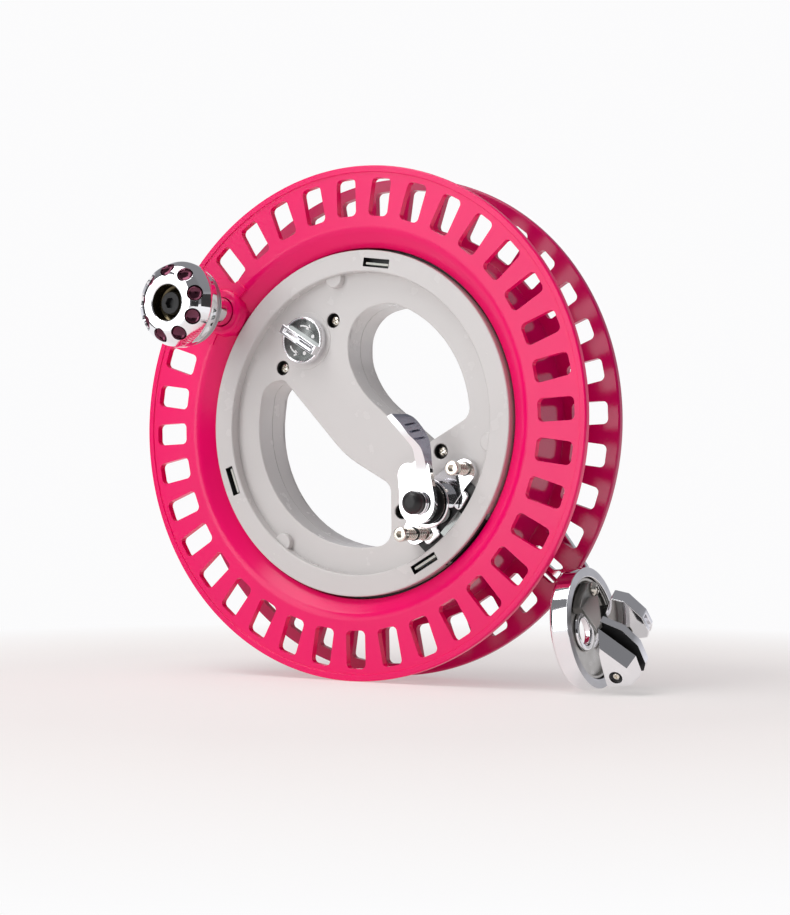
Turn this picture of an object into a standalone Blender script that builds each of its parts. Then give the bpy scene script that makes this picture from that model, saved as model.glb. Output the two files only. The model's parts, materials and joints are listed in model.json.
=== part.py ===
"""Hand-held line reel: a flanged wheel that turns on a ball bearing around a hub held by two finger openings.

Lengths are millimetres in the REEL frame: the wheel's axis is Y, the origin is its centre in the front
flange's front plane, Z is up and the user looks along +Y. Meshes are stored in metres. The whole reel hangs
on one empty, which stands it on z = 0 with its box centred on the origin.
"""

import math

import bmesh
import bpy
from mathutils import Matrix, Vector

MM = 0.001
ROUND = 36
HALF_STEP = 180.0 / ROUND
GAP = 0.3

# Wheel
FLANGE_R = 110.0
WHEEL_WIDTH = 36.5
MID = WHEEL_WIDTH / 2
FLANGE_THICK = 3.1
LIP_R = 107.0
FACE_Y = 0.5
WINDOW_R = (88.5, 104.7)
WINDOW_WIDTH = 9.5
WINDOW_STEP = 10.0
WINDOW_PHASE = 1.5
WHEEL_BORE_R = 75.5
CONE_R = 82.5
CONE_Y = 6.3
DRUM_R = (80.3, 85.0)
WEB_BACK_FRONT = 12.7
WEB_BACK_REAR = 8.7
WHEEL_SCREWS = 6
WHEEL_SCREW_R = 82.7
WHEEL_SCREW_START = 26.5
CRANK_WINDOWS = (141.5, 151.5)

# Bearing
INNER_RACE = (70.0, 72.6)
OUTER_RACE = (77.4, 80.0)
RACE_Y = (13.0, 23.5)
BALL_R = 2.0
BALL_ORBIT = 75.0
BALLS = 12

# Hub shells
RIM_R = 74.3
RIM_FACE_Y = 3.3
RIM_BACK_Y = 9.0
RECESS_R = 65.0
FLOOR_Y = 8.0
FLOOR_THICK = 2.0
BARREL_R = 71.5
SEAT_R = 69.7
SEAT_Y = 12.8
SHELL_WALL = 2.2
SPLIT = 0.15
OPENING_R = 53.5
GRIP_SCREWS = ((-14.1, 45.3), (-40.8, 25.8), (39.7, -12.9), (20.6, -38.0))
BUMP_ANGLES = (101.0, 233.0, 351.5)
SLOT_ANGLES = (81.0, 200.5, 300.0)

# Crank knob
KNOB_AXIS = (-67.7, 51.5)
KNOB_R = 18.7
KNOB_FRONT = -40.5
KNOB_BACK = -22.5
KNOB_DIMPLES = 9
POST_R = 6.3
BOSS_FACE = -1.5

# Direction selector and pawl
SELECTOR_ANGLE = 127.0
SELECTOR_RADIUS = 46.5
SELECTOR_BAR_ANGLE = -32.0
PAWL_RADIUS = 58.0
PAWL_TIP = (13.0, 14.8)
RATCHET_Y = (24.0, 26.8)
PAWL_Y = (23.9, 26.2)
RATCHET_TIP_R = 73.2
RATCHET_ROOT_R = 75.0
RATCHET_TEETH = 36
RATCHET_PHASE = 7.0
PEG_OFFSET = 2.0

# Brake
BRAKE_AXIS = (37.0, -34.5)
BRAKE_ANGLE = -43.0
HOUSING_R = (8.8, 10.7)
EARS = ((53.0, -20.5), (28.5, -47.5))

# Line guide
GUIDE_CENTRE = (104.9, 18.0, -84.85)
GUIDE_TILT = 7.8
GUIDE_RING_R = (20.6, 24.5)
GUIDE_RING_DEPTH = 8.4
ROTOR_TURN = 30.0
NEAR_SPAN = (8.5, 22.3)
NEAR_SLOT = (12.5, 16.5)
FAR_SPAN = (7.6, 14.6)
FAR_SLOT = (9.8, 12.4)
FORK_PIN = (12.8, -10.4)
FORK_OUTLINE = (
    (5.6, 1.0), (10.0, 9.8), (17.6, 4.6), (21.8, -3.0), (22.2, -11.4), (20.4, -14.6), (9.2, -14.6),
    (7.4, -12.2), (6.2, -4.0),
)
NEAR_BEVEL = 19.5
NEAR_FACE_OUTLINE = (
    (9.7, 1.0), (10.7, 3.5), (15.0, -1.0), (19.1, -5.4), (19.1, -12.4), (18.4, -14.4), (8.0, -14.4),
    (8.2, -11.0), (8.8, -5.0),
)
FAR_SHIFT = (-3.0, 2.6)
FORK_GAP_START = 8.8
NEAR_GAP_TOP = 12.0
FAR_GAP_TOP = -6.2
CARRIER_FACE = -3.0
EYELET = (-4.8, -1.0)
EYELET_R = 5.2
FORK_SCREW = (0.6, 15.4)
STEM_DEPTH = (CARRIER_FACE + GAP, 1.2)
STEM_OUTLINE = (
    (-12.8, 8.6), (-8.6, 13.6), (-1.8, 18.4), (4.2, 18.4), (5.6, 13.4), (-2.0, 10.6), (-11.4, 6.0),
)
STEM_FOLD = ((1.2, -12.3, 8.1), (5.2, -3.6, 12.6), (4.7, -2.5, 11.0), (0.7, -11.3, 6.5))
STEM_END = ((9.6, -19.4, 9.0), (10.6, -12.7, 9.0), (10.1, -12.6, 7.1), (9.1, -19.3, 7.1))
ROOT_OUTLINE = ((8.8, 8.6), (14.6, 8.6), (17.4, 2.0), (13.8, -4.0), (8.8, 1.0))
ARM_Y = (38.4, 41.4)
ARM_SCREWS = ((54.6, -19.9), (43.8, -38.1))
LUG_SCREWS = ((88.6, -64.6), (88.0, -71.2))

PALETTE = {
    "pink_plastic": ((0.93, 0.01, 0.13), 0.25, 0.0),
    "grey_plastic": ((0.62, 0.60, 0.59), 0.4, 0.0),
    "chrome": ((0.86, 0.86, 0.87), 0.08, 1.0),
    "steel": ((0.55, 0.54, 0.52), 0.3, 1.0),
    "black_rubber": ((0.015, 0.015, 0.016), 0.6, 0.0),
    "nylon": ((0.75, 0.73, 0.68), 0.5, 0.0),
}


# ---------------------------------------------------------------- helpers


def clear_scene():
    for obj in list(bpy.data.objects):
        bpy.data.objects.remove(obj, do_unlink=True)


def make_materials():
    made = {}
    for name, (colour, roughness, metallic) in PALETTE.items():
        made[name] = bpy.data.materials.new(name)
        made[name].use_nodes = True
        shader = made[name].node_tree.nodes["Principled BSDF"]
        shader.inputs["Base Color"].default_value = (*colour, 1.0)
        shader.inputs["Roughness"].default_value = roughness
        shader.inputs["Metallic"].default_value = metallic
    return made


MATERIALS = {}


def polar(radius, degrees):
    angle = math.radians(degrees)
    return radius * math.cos(angle), radius * math.sin(angle)


def solid(name, points, faces, material):
    """An object from points in millimetres, with its faces turned outwards."""
    mesh = bpy.data.meshes.new(name)
    mesh.from_pydata([Vector(p) * MM for p in points], [], faces)
    work = bmesh.new()
    work.from_mesh(mesh)
    bmesh.ops.recalc_face_normals(work, faces=work.faces)
    work.to_mesh(mesh)
    work.free()
    mesh.materials.append(MATERIALS[material])
    obj = bpy.data.objects.new(name, mesh)
    bpy.context.scene.collection.objects.link(obj)
    return obj


def turned(name, profile, material, segments=ROUND, centre=(0.0, 0.0), start=HALF_STEP):
    """A solid turned about Y. A profile is a closed loop of (radius, y), or a line from axis to axis."""
    points = []
    rings = []
    for radius, y in profile:
        if radius == 0.0:
            rings.append([len(points)] * segments)
            points.append((centre[0], y, centre[1]))
            continue
        rings.append(range(len(points), len(points) + segments))
        for i in range(segments):
            x, z = polar(radius, start + 360.0 * i / segments)
            points.append((centre[0] + x, y, centre[1] + z))
    faces = []
    for row, ring in enumerate(rings):
        following = rings[(row + 1) % len(rings)]
        if profile[row][0] == 0.0 and profile[(row + 1) % len(rings)][0] == 0.0:
            continue
        for i in range(segments):
            j = (i + 1) % segments
            face = dict.fromkeys((ring[i], ring[j], following[j], following[i]))
            faces.append(tuple(face))
    return solid(name, points, faces, material)


def lofted(name, rings, material):
    """A solid through rings of points, each with as many points as the first, closed at both ends."""
    count = len(rings[0])
    points = [point for ring in rings for point in ring]
    faces = [tuple(range(count)), tuple(range(len(points) - 1, len(points) - count - 1, -1))]
    for base in range(0, len(points) - count, count):
        for i in range(count):
            j = (i + 1) % count
            faces.append((base + i, base + j, base + count + j, base + count + i))
    return solid(name, points, faces, material)


def prism(name, outline, low, high, material):
    """An outline of (x, z) points extruded along Y from low to high."""
    return lofted(name, [[(x, y, z) for x, z in outline] for y in (low, high)], material)


def cylinder(name, centre, radius, low, high, material, segments=20):
    profile = [(0.0, low), (radius, low), (radius, high), (0.0, high)]
    return turned(name, profile, material, segments, centre)


def tube(name, centre, inner, outer, low, high, material, segments=24):
    profile = [(outer, low), (outer, high), (inner, high), (inner, low)]
    return turned(name, profile, material, segments, centre)


def boolean(target, other, operation):
    """Applies one Boolean and deletes the second object."""
    modifier = target.modifiers.new(operation.lower(), "BOOLEAN")
    modifier.operation = operation
    modifier.solver = "EXACT"
    modifier.object = other
    bpy.context.view_layer.update()
    graph = bpy.context.evaluated_depsgraph_get()
    result = bpy.data.meshes.new_from_object(target.evaluated_get(graph))
    target.modifiers.clear()
    target.data = result
    bpy.data.objects.remove(other, do_unlink=True)
    return target


def cut(target, *others):
    for other in others:
        boolean(target, other, "DIFFERENCE")
    return target


def join(target, *others):
    for other in others:
        boolean(target, other, "UNION")
    return target


def corner_arc(before, corner, after, radius, step):
    """The points that round one corner of an outline with an arc of this radius."""
    p, q, r = Vector(before), Vector(corner), Vector(after)
    into, out = (q - p).normalized(), (r - q).normalized()
    turn = into.angle_signed(out)
    back = abs(radius * math.tan(turn / 2))
    start = q - into * back
    side = Vector((into.y, -into.x)) * math.copysign(radius, turn)
    centre = start + side
    count = max(1, math.ceil(abs(math.degrees(turn)) / step))
    spokes = [Matrix.Rotation(-turn * i / count, 2) @ -side for i in range(count + 1)]
    return [tuple(centre + spoke) for spoke in spokes]


def rounded(corners, step=20.0):
    """An outline from corners of (x, z, radius)."""
    points = []
    for i, (x, z, radius) in enumerate(corners):
        before = corners[i - 1][:2]
        after = corners[(i + 1) % len(corners)][:2]
        if radius == 0.0:
            points.append((x, z))
        else:
            points.extend(corner_arc(before, (x, z), after, radius, step))
    return points


def grown(outline, amount):
    """The outline moved outwards by an amount."""
    ends = list(zip(outline, outline[1:] + outline[:1]))
    turn = math.copysign(1.0, sum(a[0] * b[1] - b[0] * a[1] for a, b in ends))
    result = []
    for i, point in enumerate(outline):
        along = (Vector(outline[(i + 1) % len(outline)]) - Vector(outline[i - 1])).normalized()
        result.append(tuple(Vector(point) + Vector((along.y, -along.x)) * turn * amount))
    return result


def radial_box(name, angle, inner, outer, width, low, high, material="steel"):
    """A box that runs outwards along a radius of the wheel."""
    along = Vector(polar(1.0, angle))
    across = Vector((-along.y, along.x)) * width / 2
    outline = [along * inner - across, along * outer - across, along * outer + across, along * inner + across]
    return prism(name, [tuple(p) for p in outline], low, high, material)


def moved(obj, matrix):
    """Carries an object's mesh from its own millimetre frame into the reel's."""
    scale = Matrix.Scale(MM, 4)
    obj.data.transform(scale @ matrix @ scale.inverted())
    return obj


def shade(obj, degrees=35.0):
    obj.data.shade_smooth()
    obj.data.set_sharp_from_angle(angle=math.radians(degrees))


# ---------------------------------------------------------------- wheel


def window_outline(angle):
    """One flange window: a rectangle along the radius."""
    inner, outer = WINDOW_R
    half = WINDOW_WIDTH / 2
    local = ((inner, half), (outer, half), (outer, -half), (inner, -half))
    along = Vector(polar(1.0, angle))
    across = Vector((-along.y, along.x))
    return [tuple(along * u + across * v) for u, v in local]


def window_cutter(skipped):
    points, faces = [], []
    for number in range(round(360 / WINDOW_STEP)):
        angle = WINDOW_PHASE + number * WINDOW_STEP
        if angle in skipped:
            continue
        base = len(points)
        outline = window_outline(angle)
        count = len(outline)
        points += [(x, FACE_Y - 2, z) for x, z in outline]
        points += [(x, FACE_Y + 6, z) for x, z in outline]
        faces.append(tuple(range(base, base + count)))
        faces.append(tuple(range(base + 2 * count - 1, base + count - 1, -1)))
        for i in range(count):
            j = (i + 1) % count
            faces.append((base + i, base + j, base + count + j, base + count + i))
    return solid("window_cutter", points, faces, "pink_plastic")


def flange(name, web_back):
    """A flange facing -Y: lip, face, cone down to the bore, and the web that holds the bearing."""
    back = FACE_Y + FLANGE_THICK
    edge = FLANGE_R / math.cos(math.radians(HALF_STEP))
    profile = [
        (WHEEL_BORE_R, CONE_Y), (CONE_R, FACE_Y), (LIP_R, FACE_Y), (LIP_R + 0.4, 0.0),
        (edge - 0.8, 0.0), (edge, 0.8), (edge, back), (DRUM_R[1] - 0.3, back),
        (OUTER_RACE[1] - 0.1, CONE_Y + 0.9), (OUTER_RACE[1] - 0.1, web_back), (WHEEL_BORE_R, web_back),
    ]
    return turned(name, profile, "pink_plastic")


def to_rear(obj):
    """Mirrors a front piece to the same place on the rear side."""
    obj.data.transform(Matrix.Translation((0, WHEEL_WIDTH * MM, 0)) @ Matrix.Scale(-1, 4, (0, 1, 0)))
    obj.data.flip_normals()
    return obj


def make_front_flange():
    body = flange("front_flange", WEB_BACK_FRONT)
    pad = cylinder("pad", KNOB_AXIS, 15.5, FACE_Y - 0.4, FACE_Y + 1.5, "pink_plastic", 24)
    boss = turned(
        "boss", [(0.0, BOSS_FACE), (9.6, BOSS_FACE), (10.6, BOSS_FACE + 1.0), (10.6, 8.5), (0.0, 8.5)],
        "pink_plastic", 24, KNOB_AXIS,
    )
    bore = cylinder("bore", (0, 0), WHEEL_BORE_R, -5, 20, "pink_plastic", ROUND)
    cut(boss, bore)
    back = FACE_Y + FLANGE_THICK - 0.1
    relief = tube("relief", (0, 0), OUTER_RACE[1] - 0.3, FLANGE_R + 10, back, 20, "pink_plastic", ROUND)
    cut(boss, relief)
    join(body, pad, boss)
    cut(body, window_cutter(skipped=CRANK_WINDOWS))
    hole = cylinder("hole", KNOB_AXIS, POST_R + GAP, BOSS_FACE - 1, FACE_Y + 1.6, "pink_plastic", 24)
    return cut(body, hole)


def screw_places():
    """Where the wheel's screws go, in a rear piece before it is mirrored."""
    return [polar(WHEEL_SCREW_R, WHEEL_SCREW_START + 360.0 * i / WHEEL_SCREWS) for i in range(WHEEL_SCREWS)]


def make_rear_flange():
    body = cut(flange("rear_flange", WEB_BACK_REAR), window_cutter(skipped=()))
    for place in screw_places():
        cut(body, cylinder("head_hole", place, 2.5, -1, 2.6, "pink_plastic", 12))
        cut(body, cylinder("shank_hole", place, 1.5, 2, 8, "pink_plastic", 10))
    return to_rear(body)


def make_wheel_screws():
    for number, (x, z) in enumerate(screw_places(), 1):
        profile = [(0.0, 0.9), (2.1, 0.9), (2.1, 2.3), (1.1, 2.3), (1.1, 10.0), (0.0, 10.0)]
        to_rear(turned(f"wheel_screw_{number}", profile, "steel", 10, (x, z)))


def make_drum():
    end = FACE_Y + FLANGE_THICK + GAP
    inner, outer = DRUM_R
    profile = [
        (inner, 7.5), (outer - 0.4, end + 0.3), (outer, end + 0.1),
        (outer, WHEEL_WIDTH - end - 0.1), (outer - 0.4, WHEEL_WIDTH - end - 0.3), (inner, WHEEL_WIDTH - 7.5),
    ]
    drum = turned("line_drum", profile, "pink_plastic", ROUND)
    for place in screw_places():
        cut(drum, cylinder("hole", place, 1.5, 26.0, 40.0, "pink_plastic", 10))
    return drum


def make_bearing():
    tube("bearing_inner_race", (0, 0), *INNER_RACE, *RACE_Y, "steel", ROUND)
    tube("bearing_outer_race", (0, 0), *OUTER_RACE, *RACE_Y, "steel", ROUND)
    cage = tube("ball_cage", (0, 0), BALL_ORBIT - 0.7, BALL_ORBIT + 0.7, MID - 2.8, MID + 2.8, "nylon", 32)
    for number in range(BALLS):
        x, z = polar(BALL_ORBIT, 360.0 * number / BALLS)
        bands = [i * math.pi / 4 for i in range(5)]
        profile = [(round(BALL_R * math.sin(a), 6), MID - BALL_R * math.cos(a)) for a in bands]
        join(cage, turned("ball", profile, "steel", 8, (x, z)))


def make_ratchet_ring():
    outer = OUTER_RACE[1] - 0.1
    ring = cylinder("ratchet_ring", (0, 0), outer, *RATCHET_Y, "steel", ROUND)
    outline = []
    for number in range(RATCHET_TEETH):
        middle = RATCHET_PHASE + 360.0 * number / RATCHET_TEETH
        outline.append(polar(RATCHET_ROOT_R, middle - 1.2))
        outline.append(polar(RATCHET_ROOT_R, middle + 1.2))
        outline.append(polar(RATCHET_TIP_R, middle + 180.0 / RATCHET_TEETH))
    return cut(ring, prism("teeth", outline, RATCHET_Y[0] - 1, RATCHET_Y[1] + 1, "steel"))


# ---------------------------------------------------------------- crank knob


def make_knob_post():
    profile = [
        (0.0, KNOB_FRONT + 6.5), (3.6, KNOB_FRONT + 6.5), (3.6, KNOB_BACK + 0.4), (POST_R, KNOB_BACK + 0.4),
        (POST_R, FACE_Y + 1.2), (0.0, FACE_Y + 1.2),
    ]
    turned("knob_post", profile, "chrome", 24, KNOB_AXIS)


def make_knob_bolt():
    """The socket-head bolt that holds the knob on its post, seen at the bottom of the knob's hole."""
    head, seat = KNOB_FRONT + 2.6, KNOB_FRONT + 6.2
    bolt = cylinder("knob_bolt", KNOB_AXIS, 5.0, head, seat, "steel", 20)
    return cut(bolt, cylinder("socket", KNOB_AXIS, 2.4, head - 1, head + 2.0, "steel", 6))


def make_knob_shell():
    front, hole_r = KNOB_FRONT, 7.8
    profile = [
        (hole_r, front + 0.8), (hole_r + 0.8, front), (11.5, front + 0.1), (14.2, front + 1.3),
        (16.6, front + 3.6), (18.2, front + 6.6), (KNOB_R, front + 9.5), (18.3, front + 12.2),
        (16.8, front + 13.2),
        (4.0, front + 13.2), (4.0, front + 8.2), (hole_r - 1.6, front + 6.5 + GAP), (hole_r, front + 6.0),
    ]
    shell = turned("knob_shell", profile, "chrome", 36, KNOB_AXIS)
    for number in range(KNOB_DIMPLES):
        angle = 360.0 * (number + 0.5) / KNOB_DIMPLES - 7.0
        x, z = polar(14.3, angle)
        dimple = turned(
            "dimple", [(0.0, -3.0), (3.65, -3.0), (3.65, 2.2), (0.0, 2.2)], "chrome", 10,
        )
        swing = Matrix.Rotation(math.radians(angle), 4, Vector((0, -1, 0)))
        lean = swing @ Matrix.Rotation(math.radians(45), 4, "Z")
        moved(dimple, Matrix.Translation((KNOB_AXIS[0] + x, front + 2.0, KNOB_AXIS[1] + z)) @ lean)
        cut(shell, dimple)
    return shell


def make_knob_collar():
    low = KNOB_FRONT + 13.5
    profile = [
        (4.0, low), (16.6, low), (17.6, low + 0.6), (17.6, low + 2.8), (15.2, KNOB_BACK),
        (4.0, KNOB_BACK),
    ]
    turned("knob_collar", profile, "chrome", 24, KNOB_AXIS)


# ---------------------------------------------------------------- hub


def upper_opening(step=30.0):
    """The opening on the brake lever's side."""
    return rounded((
        (49.8, 37.6, OPENING_R), (53.7, 1.6, 6.0), (30.7, -10.9, 5.0), (-0.85, 14.5, 40.0),
        (-6.3, 28.0, 20.0), (-6.3, 47.9, 16.0), (14.9, 51.7, 19.0),
    ), step)


def lower_opening(step=30.0):
    """The larger opening, for four fingers."""
    return rounded((
        (-62.5, -60.4, OPENING_R), (-51.2, 19.3, 9.0), (-40.2, 20.7, 4.5), (-7.6, -13.9, 45.0),
        (15.3, -26.6, 6.0), (15.6, -52.1, 7.0),
    ), step)


def hub_shell(name, split):
    """One half of the hub, facing -Y, open at the split plane."""
    body = turned(name, [
        (0.0, FLOOR_Y), (RECESS_R, FLOOR_Y), (RECESS_R, RIM_FACE_Y), (RIM_R - 0.6, RIM_FACE_Y),
        (RIM_R, RIM_FACE_Y + 0.6), (RIM_R, RIM_BACK_Y), (BARREL_R, RIM_BACK_Y), (BARREL_R, SEAT_Y),
        (SEAT_R, SEAT_Y), (SEAT_R, split), (0.0, split),
    ], "grey_plastic", ROUND)
    openings = (upper_opening(), lower_opening())
    inside = SEAT_R - SHELL_WALL
    cavity = cylinder("cavity", (0, 0), inside, FLOOR_Y + FLOOR_THICK, split + 1, "grey_plastic", 24)
    for outline in openings:
        cut(cavity, prism("wall", grown(outline, SHELL_WALL), 0, 30, "grey_plastic"))
    for x, z in GRIP_SCREWS:
        cut(cavity, cylinder("boss", (x, z), 4.6, 0, 30, "grey_plastic", 8))
    return body, cavity, openings


def shell_bosses(cavity, places, radius):
    for place in places:
        cut(cavity, cylinder("boss", place, radius, 0, 30, "grey_plastic", 10))


def make_front_shell():
    body, cavity, openings = hub_shell("hub_front_shell", MID - SPLIT)
    selector = polar(SELECTOR_RADIUS, SELECTOR_ANGLE)
    shell_bosses(cavity, (selector, BRAKE_AXIS), 6.2)
    cut(body, cavity)
    for outline in openings:
        cut(body, prism("opening", outline, 0, 30, "grey_plastic"))
    for place in GRIP_SCREWS:
        cut(body, cylinder("head_hole", place, 3.25, 0, FLOOR_Y + 4.0, "grey_plastic", 12))
        cut(body, cylinder("shank_hole", place, 1.8, 5, 30, "grey_plastic", 8))
    cut(body, cylinder("selector_hole", selector, 4.3, 0, 30, "grey_plastic", 16))
    cut(body, cylinder("spindle_hole", BRAKE_AXIS, 3.5, 0, 30, "grey_plastic", 16))
    for angle in SLOT_ANGLES:
        slot = radial_box("slot", angle, 66.9, 70.7, 13.0, RIM_FACE_Y - 1, RIM_FACE_Y + 4.0)
        cut(body, slot)
    for angle in BUMP_ANGLES:
        place = polar(RECESS_R - 0.6, angle)
        join(body, cylinder("bump", place, 4.0, RIM_FACE_Y + 0.1, FLOOR_Y + 1, "grey_plastic", 14))
    cut(body, radial_box("shoe_slot", BRAKE_ANGLE, 60.0, 80.0, 29.0, RIM_FACE_Y + 1.7, FLOOR_Y - 0.05))
    for place in EARS:
        cut(body, cylinder("ear_hole", place, 1.8, 5, 14, "grey_plastic", 10))
    return body


def make_rear_shell():
    body, cavity, openings = hub_shell("hub_rear_shell", MID - SPLIT)
    pawl = polar(PAWL_RADIUS, SELECTOR_ANGLE)
    shell_bosses(cavity, ARM_SCREWS, 4.6)
    cut(body, cavity)
    for outline in openings:
        cut(body, prism("opening", outline, 0, 30, "grey_plastic"))
    for place in GRIP_SCREWS:
        cut(body, cylinder("pilot", place, 1.4, 10, 30, "grey_plastic", 8))
    for place in ARM_SCREWS:
        cut(body, cylinder("pilot", place, 1.9, 0, 30, "grey_plastic", 10))
    cut(body, cylinder("pin_hole", pawl, 1.8, FLOOR_Y + 0.6, 30, "grey_plastic", 12))
    window = radial_box(
        "pawl_window", SELECTOR_ANGLE, 60.0, 80.0, 44.0, RIM_BACK_Y + 0.2, WHEEL_WIDTH - PAWL_Y[0] + 0.3,
    )
    cut(body, window)
    return to_rear(body)


def make_grip_screws():
    """Phillips screws that clamp the two shells, their heads sunk in the front shell."""
    for number, place in enumerate(GRIP_SCREWS, 1):
        top = FLOOR_Y + 1.6
        profile = [
            (0.0, top), (1.9, top), (2.7, top + 0.7), (2.7, top + 2.0), (1.1, top + 2.0), (1.1, 25.0),
            (0.0, 25.0),
        ]
        screw = turned(f"grip_screw_{number}", profile, "steel", 12, place)
        for turn in (20.0, 110.0):
            along = Vector(polar(1.6, turn))
            side = Vector((-along.y, along.x)).normalized() * 0.35
            at = Vector(place)
            outline = [at - along - side, at + along - side, at + along + side, at - along + side]
            cut(screw, prism("cross", [tuple(p) for p in outline], top - 1, top + 0.9, "steel"))


def make_dust_seal():
    inner, outer = BARREL_R + GAP, WHEEL_BORE_R - GAP
    tube("dust_seal", (0, 0), inner, outer, RIM_BACK_Y + GAP, RIM_BACK_Y + 1.4, "black_rubber", ROUND)


# ---------------------------------------------------------------- selector


def make_selector():
    centre = Vector(polar(SELECTOR_RADIUS, SELECTOR_ANGLE))
    top = 3.9
    knob = turned("selector_knob", [
        (0.0, top), (9.9, top), (10.5, top + 0.6), (10.5, FLOOR_Y - GAP), (4.0, FLOOR_Y - GAP), (4.0, 19.6),
        (0.0, 19.6),
    ], "chrome", 28, tuple(centre))
    along = Vector(polar(9.4, SELECTOR_BAR_ANGLE))
    side = Vector((-along.y, along.x)).normalized() * 1.8
    outline = [centre - along - side, centre + along - side, centre + along + side, centre - along + side]
    join(knob, prism("bar", [tuple(p) for p in outline], top - 3.6, top + 0.5, "chrome"))
    outward = centre.normalized()
    cam = cylinder("selector_cam", tuple(centre), 5.2, 19.9, 22.6, "steel", 20)
    join(cam, cylinder("peg", tuple(centre + outward * PEG_OFFSET), 1.4, 22.0, 26.0, "steel", 12))


def make_pawl():
    """A double-ended pawl: its tail is a fork around the cam's peg, and each tip reaches the ratchet ring."""
    outward = Vector(polar(1.0, SELECTOR_ANGLE))
    across = Vector((-outward.y, outward.x))
    pivot = outward * PAWL_RADIUS
    out, wide = PAWL_TIP
    half = (
        (-13.6, 0.0), (-13.6, 4.2), (-5.5, 4.2), (0.0, 6.0), (6.5, wide - 2.6), (out - 1.6, wide + 1.4),
        (out, wide), (9.0, 7.5), (7.2, 0.0),
    )
    outline = [pivot + outward * u + across * v for u, v in half]
    outline += [pivot + outward * u - across * v for u, v in half[-2:0:-1]]
    plate = prism("pawl", [tuple(p) for p in outline], *PAWL_Y, "steel")
    slot = [pivot + outward * u + across * v for u, v in ((-20, -1.75), (-6, -1.75), (-6, 1.75), (-20, 1.75))]
    cut(plate, prism("slot", [tuple(p) for p in slot], 20, 30, "steel"))
    cut(plate, cylinder("pivot", tuple(pivot), 1.8, 20, 30, "steel", 16))
    cylinder("pawl_pin", tuple(pivot), 1.5, 23.2, 27.6, "steel", 16)


# ---------------------------------------------------------------- brake


def make_brake_bracket():
    """The plate with two ears that carries the lever's housing ring."""
    (ax, az), (bx, bz) = EARS
    cx, cz = BRAKE_AXIS
    base = prism("brake_bracket", rounded((
        (ax + 1.0, az + 5.6, 4.0), (ax - 6.5, az + 1.0, 3.0), (cx - 6.5, cz + 4.0, 6.0),
        (bx - 5.4, bz + 1.0, 4.0), (bx - 0.5, bz - 5.8, 4.0), (bx + 7.0, bz - 1.0, 3.0),
        (cx + 8.5, cz - 4.5, 5.0), (ax + 6.0, az - 2.0, 4.0),
    ), 30.0), 4.6, FLOOR_Y - GAP, "chrome")
    join(base, cylinder("housing", BRAKE_AXIS, HOUSING_R[1], 0.2, FLOOR_Y - 0.5, "chrome", 24))
    cut(base, cylinder("hole", BRAKE_AXIS, HOUSING_R[0], -5, 20, "chrome", 24))
    for place in EARS:
        cut(base, cylinder("ear", place, 1.9, 0, 20, "chrome", 12))
    return base


def make_brake_bush():
    tube("brake_bush", BRAKE_AXIS, 3.6, HOUSING_R[0] - GAP, 1.4, FLOOR_Y - GAP, "black_rubber", 24)


def make_ear_screws():
    for number, place in enumerate(EARS, 1):
        profile = [(0.0, -7.0), (2.7, -7.0), (3.1, -6.6), (3.1, -3.8), (1.5, -3.8), (1.5, 13.0), (0.0, 13.0)]
        screw = turned(f"ear_screw_{number}", profile, "steel", 16, place)
        cut(screw, cylinder("socket", place, 1.5, -8, -5.2, "steel", 6))
        coil_spring(f"ear_spring_{number}", place, 2.25, 0.42, -3.0, 3.8, 4)


def coil_spring(name, centre, radius, wire, low, high, turns):
    """A compression spring drawn as one swept tube around Y."""
    per_turn, sides = 8, 4
    steps = turns * per_turn
    points, faces = [], []
    for i in range(steps + 1):
        angle = 2 * math.pi * i / per_turn
        y = low + (high - low) * i / steps
        outward = Vector((math.cos(angle), 0, math.sin(angle)))
        for k in range(sides):
            around = 2 * math.pi * k / sides
            middle = Vector((centre[0], y + math.sin(around) * wire, centre[1]))
            points.append(middle + outward * (radius + wire * math.cos(around)))
    for i in range(steps):
        for k in range(sides):
            a, b = i * sides + k, i * sides + (k + 1) % sides
            faces.append((a, b, b + sides, a + sides))
    faces.append(tuple(range(sides)))
    faces.append(tuple(range(steps * sides, (steps + 1) * sides)))
    return solid(name, points, faces, "steel")


def make_brake_lever():
    """The lever: a plate around its spindle, a lobe beside it, and an arm with a thumb pad."""
    cx, cz = BRAKE_AXIS
    plate = prism("brake_lever", rounded((
        (cx + 7.2, cz - 7.8, 7.0), (cx + 7.4, cz + 10.0, 6.0), (cx + 3.2, cz + 25.0, 8.0),
        (cx - 6.5, cz + 38.5, 1.0), (cx - 11.8, cz + 36.0, 1.0), (cx - 3.5, cz + 22.0, 6.0),
        (cx - 3.2, cz + 15.5, 1.0), (cx - 10.0, cz + 16.5, 4.5),
        (cx - 9.0, cz + 4.0, 4.0), (cx - 8.0, cz - 8.0, 7.5),
    ), 22.5), -7.4, -4.6, "chrome")
    pad = prism("pad", rounded((
        (cx + 5.2, cz + 20.0, 2.0), (cx + 3.4, cz + 25.0, 8.0), (cx - 6.4, cz + 38.4, 1.0),
        (cx - 8.4, cz + 36.6, 1.0),
        (cx + 1.2, cz + 22.0, 6.0), (cx + 2.6, cz + 18.5, 1.0),
    ), 30.0), -15.5, -4.8, "chrome")
    join(plate, pad)
    return cut(plate, cylinder("bore", BRAKE_AXIS, 3.4, -20, 0, "chrome", 20))


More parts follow.
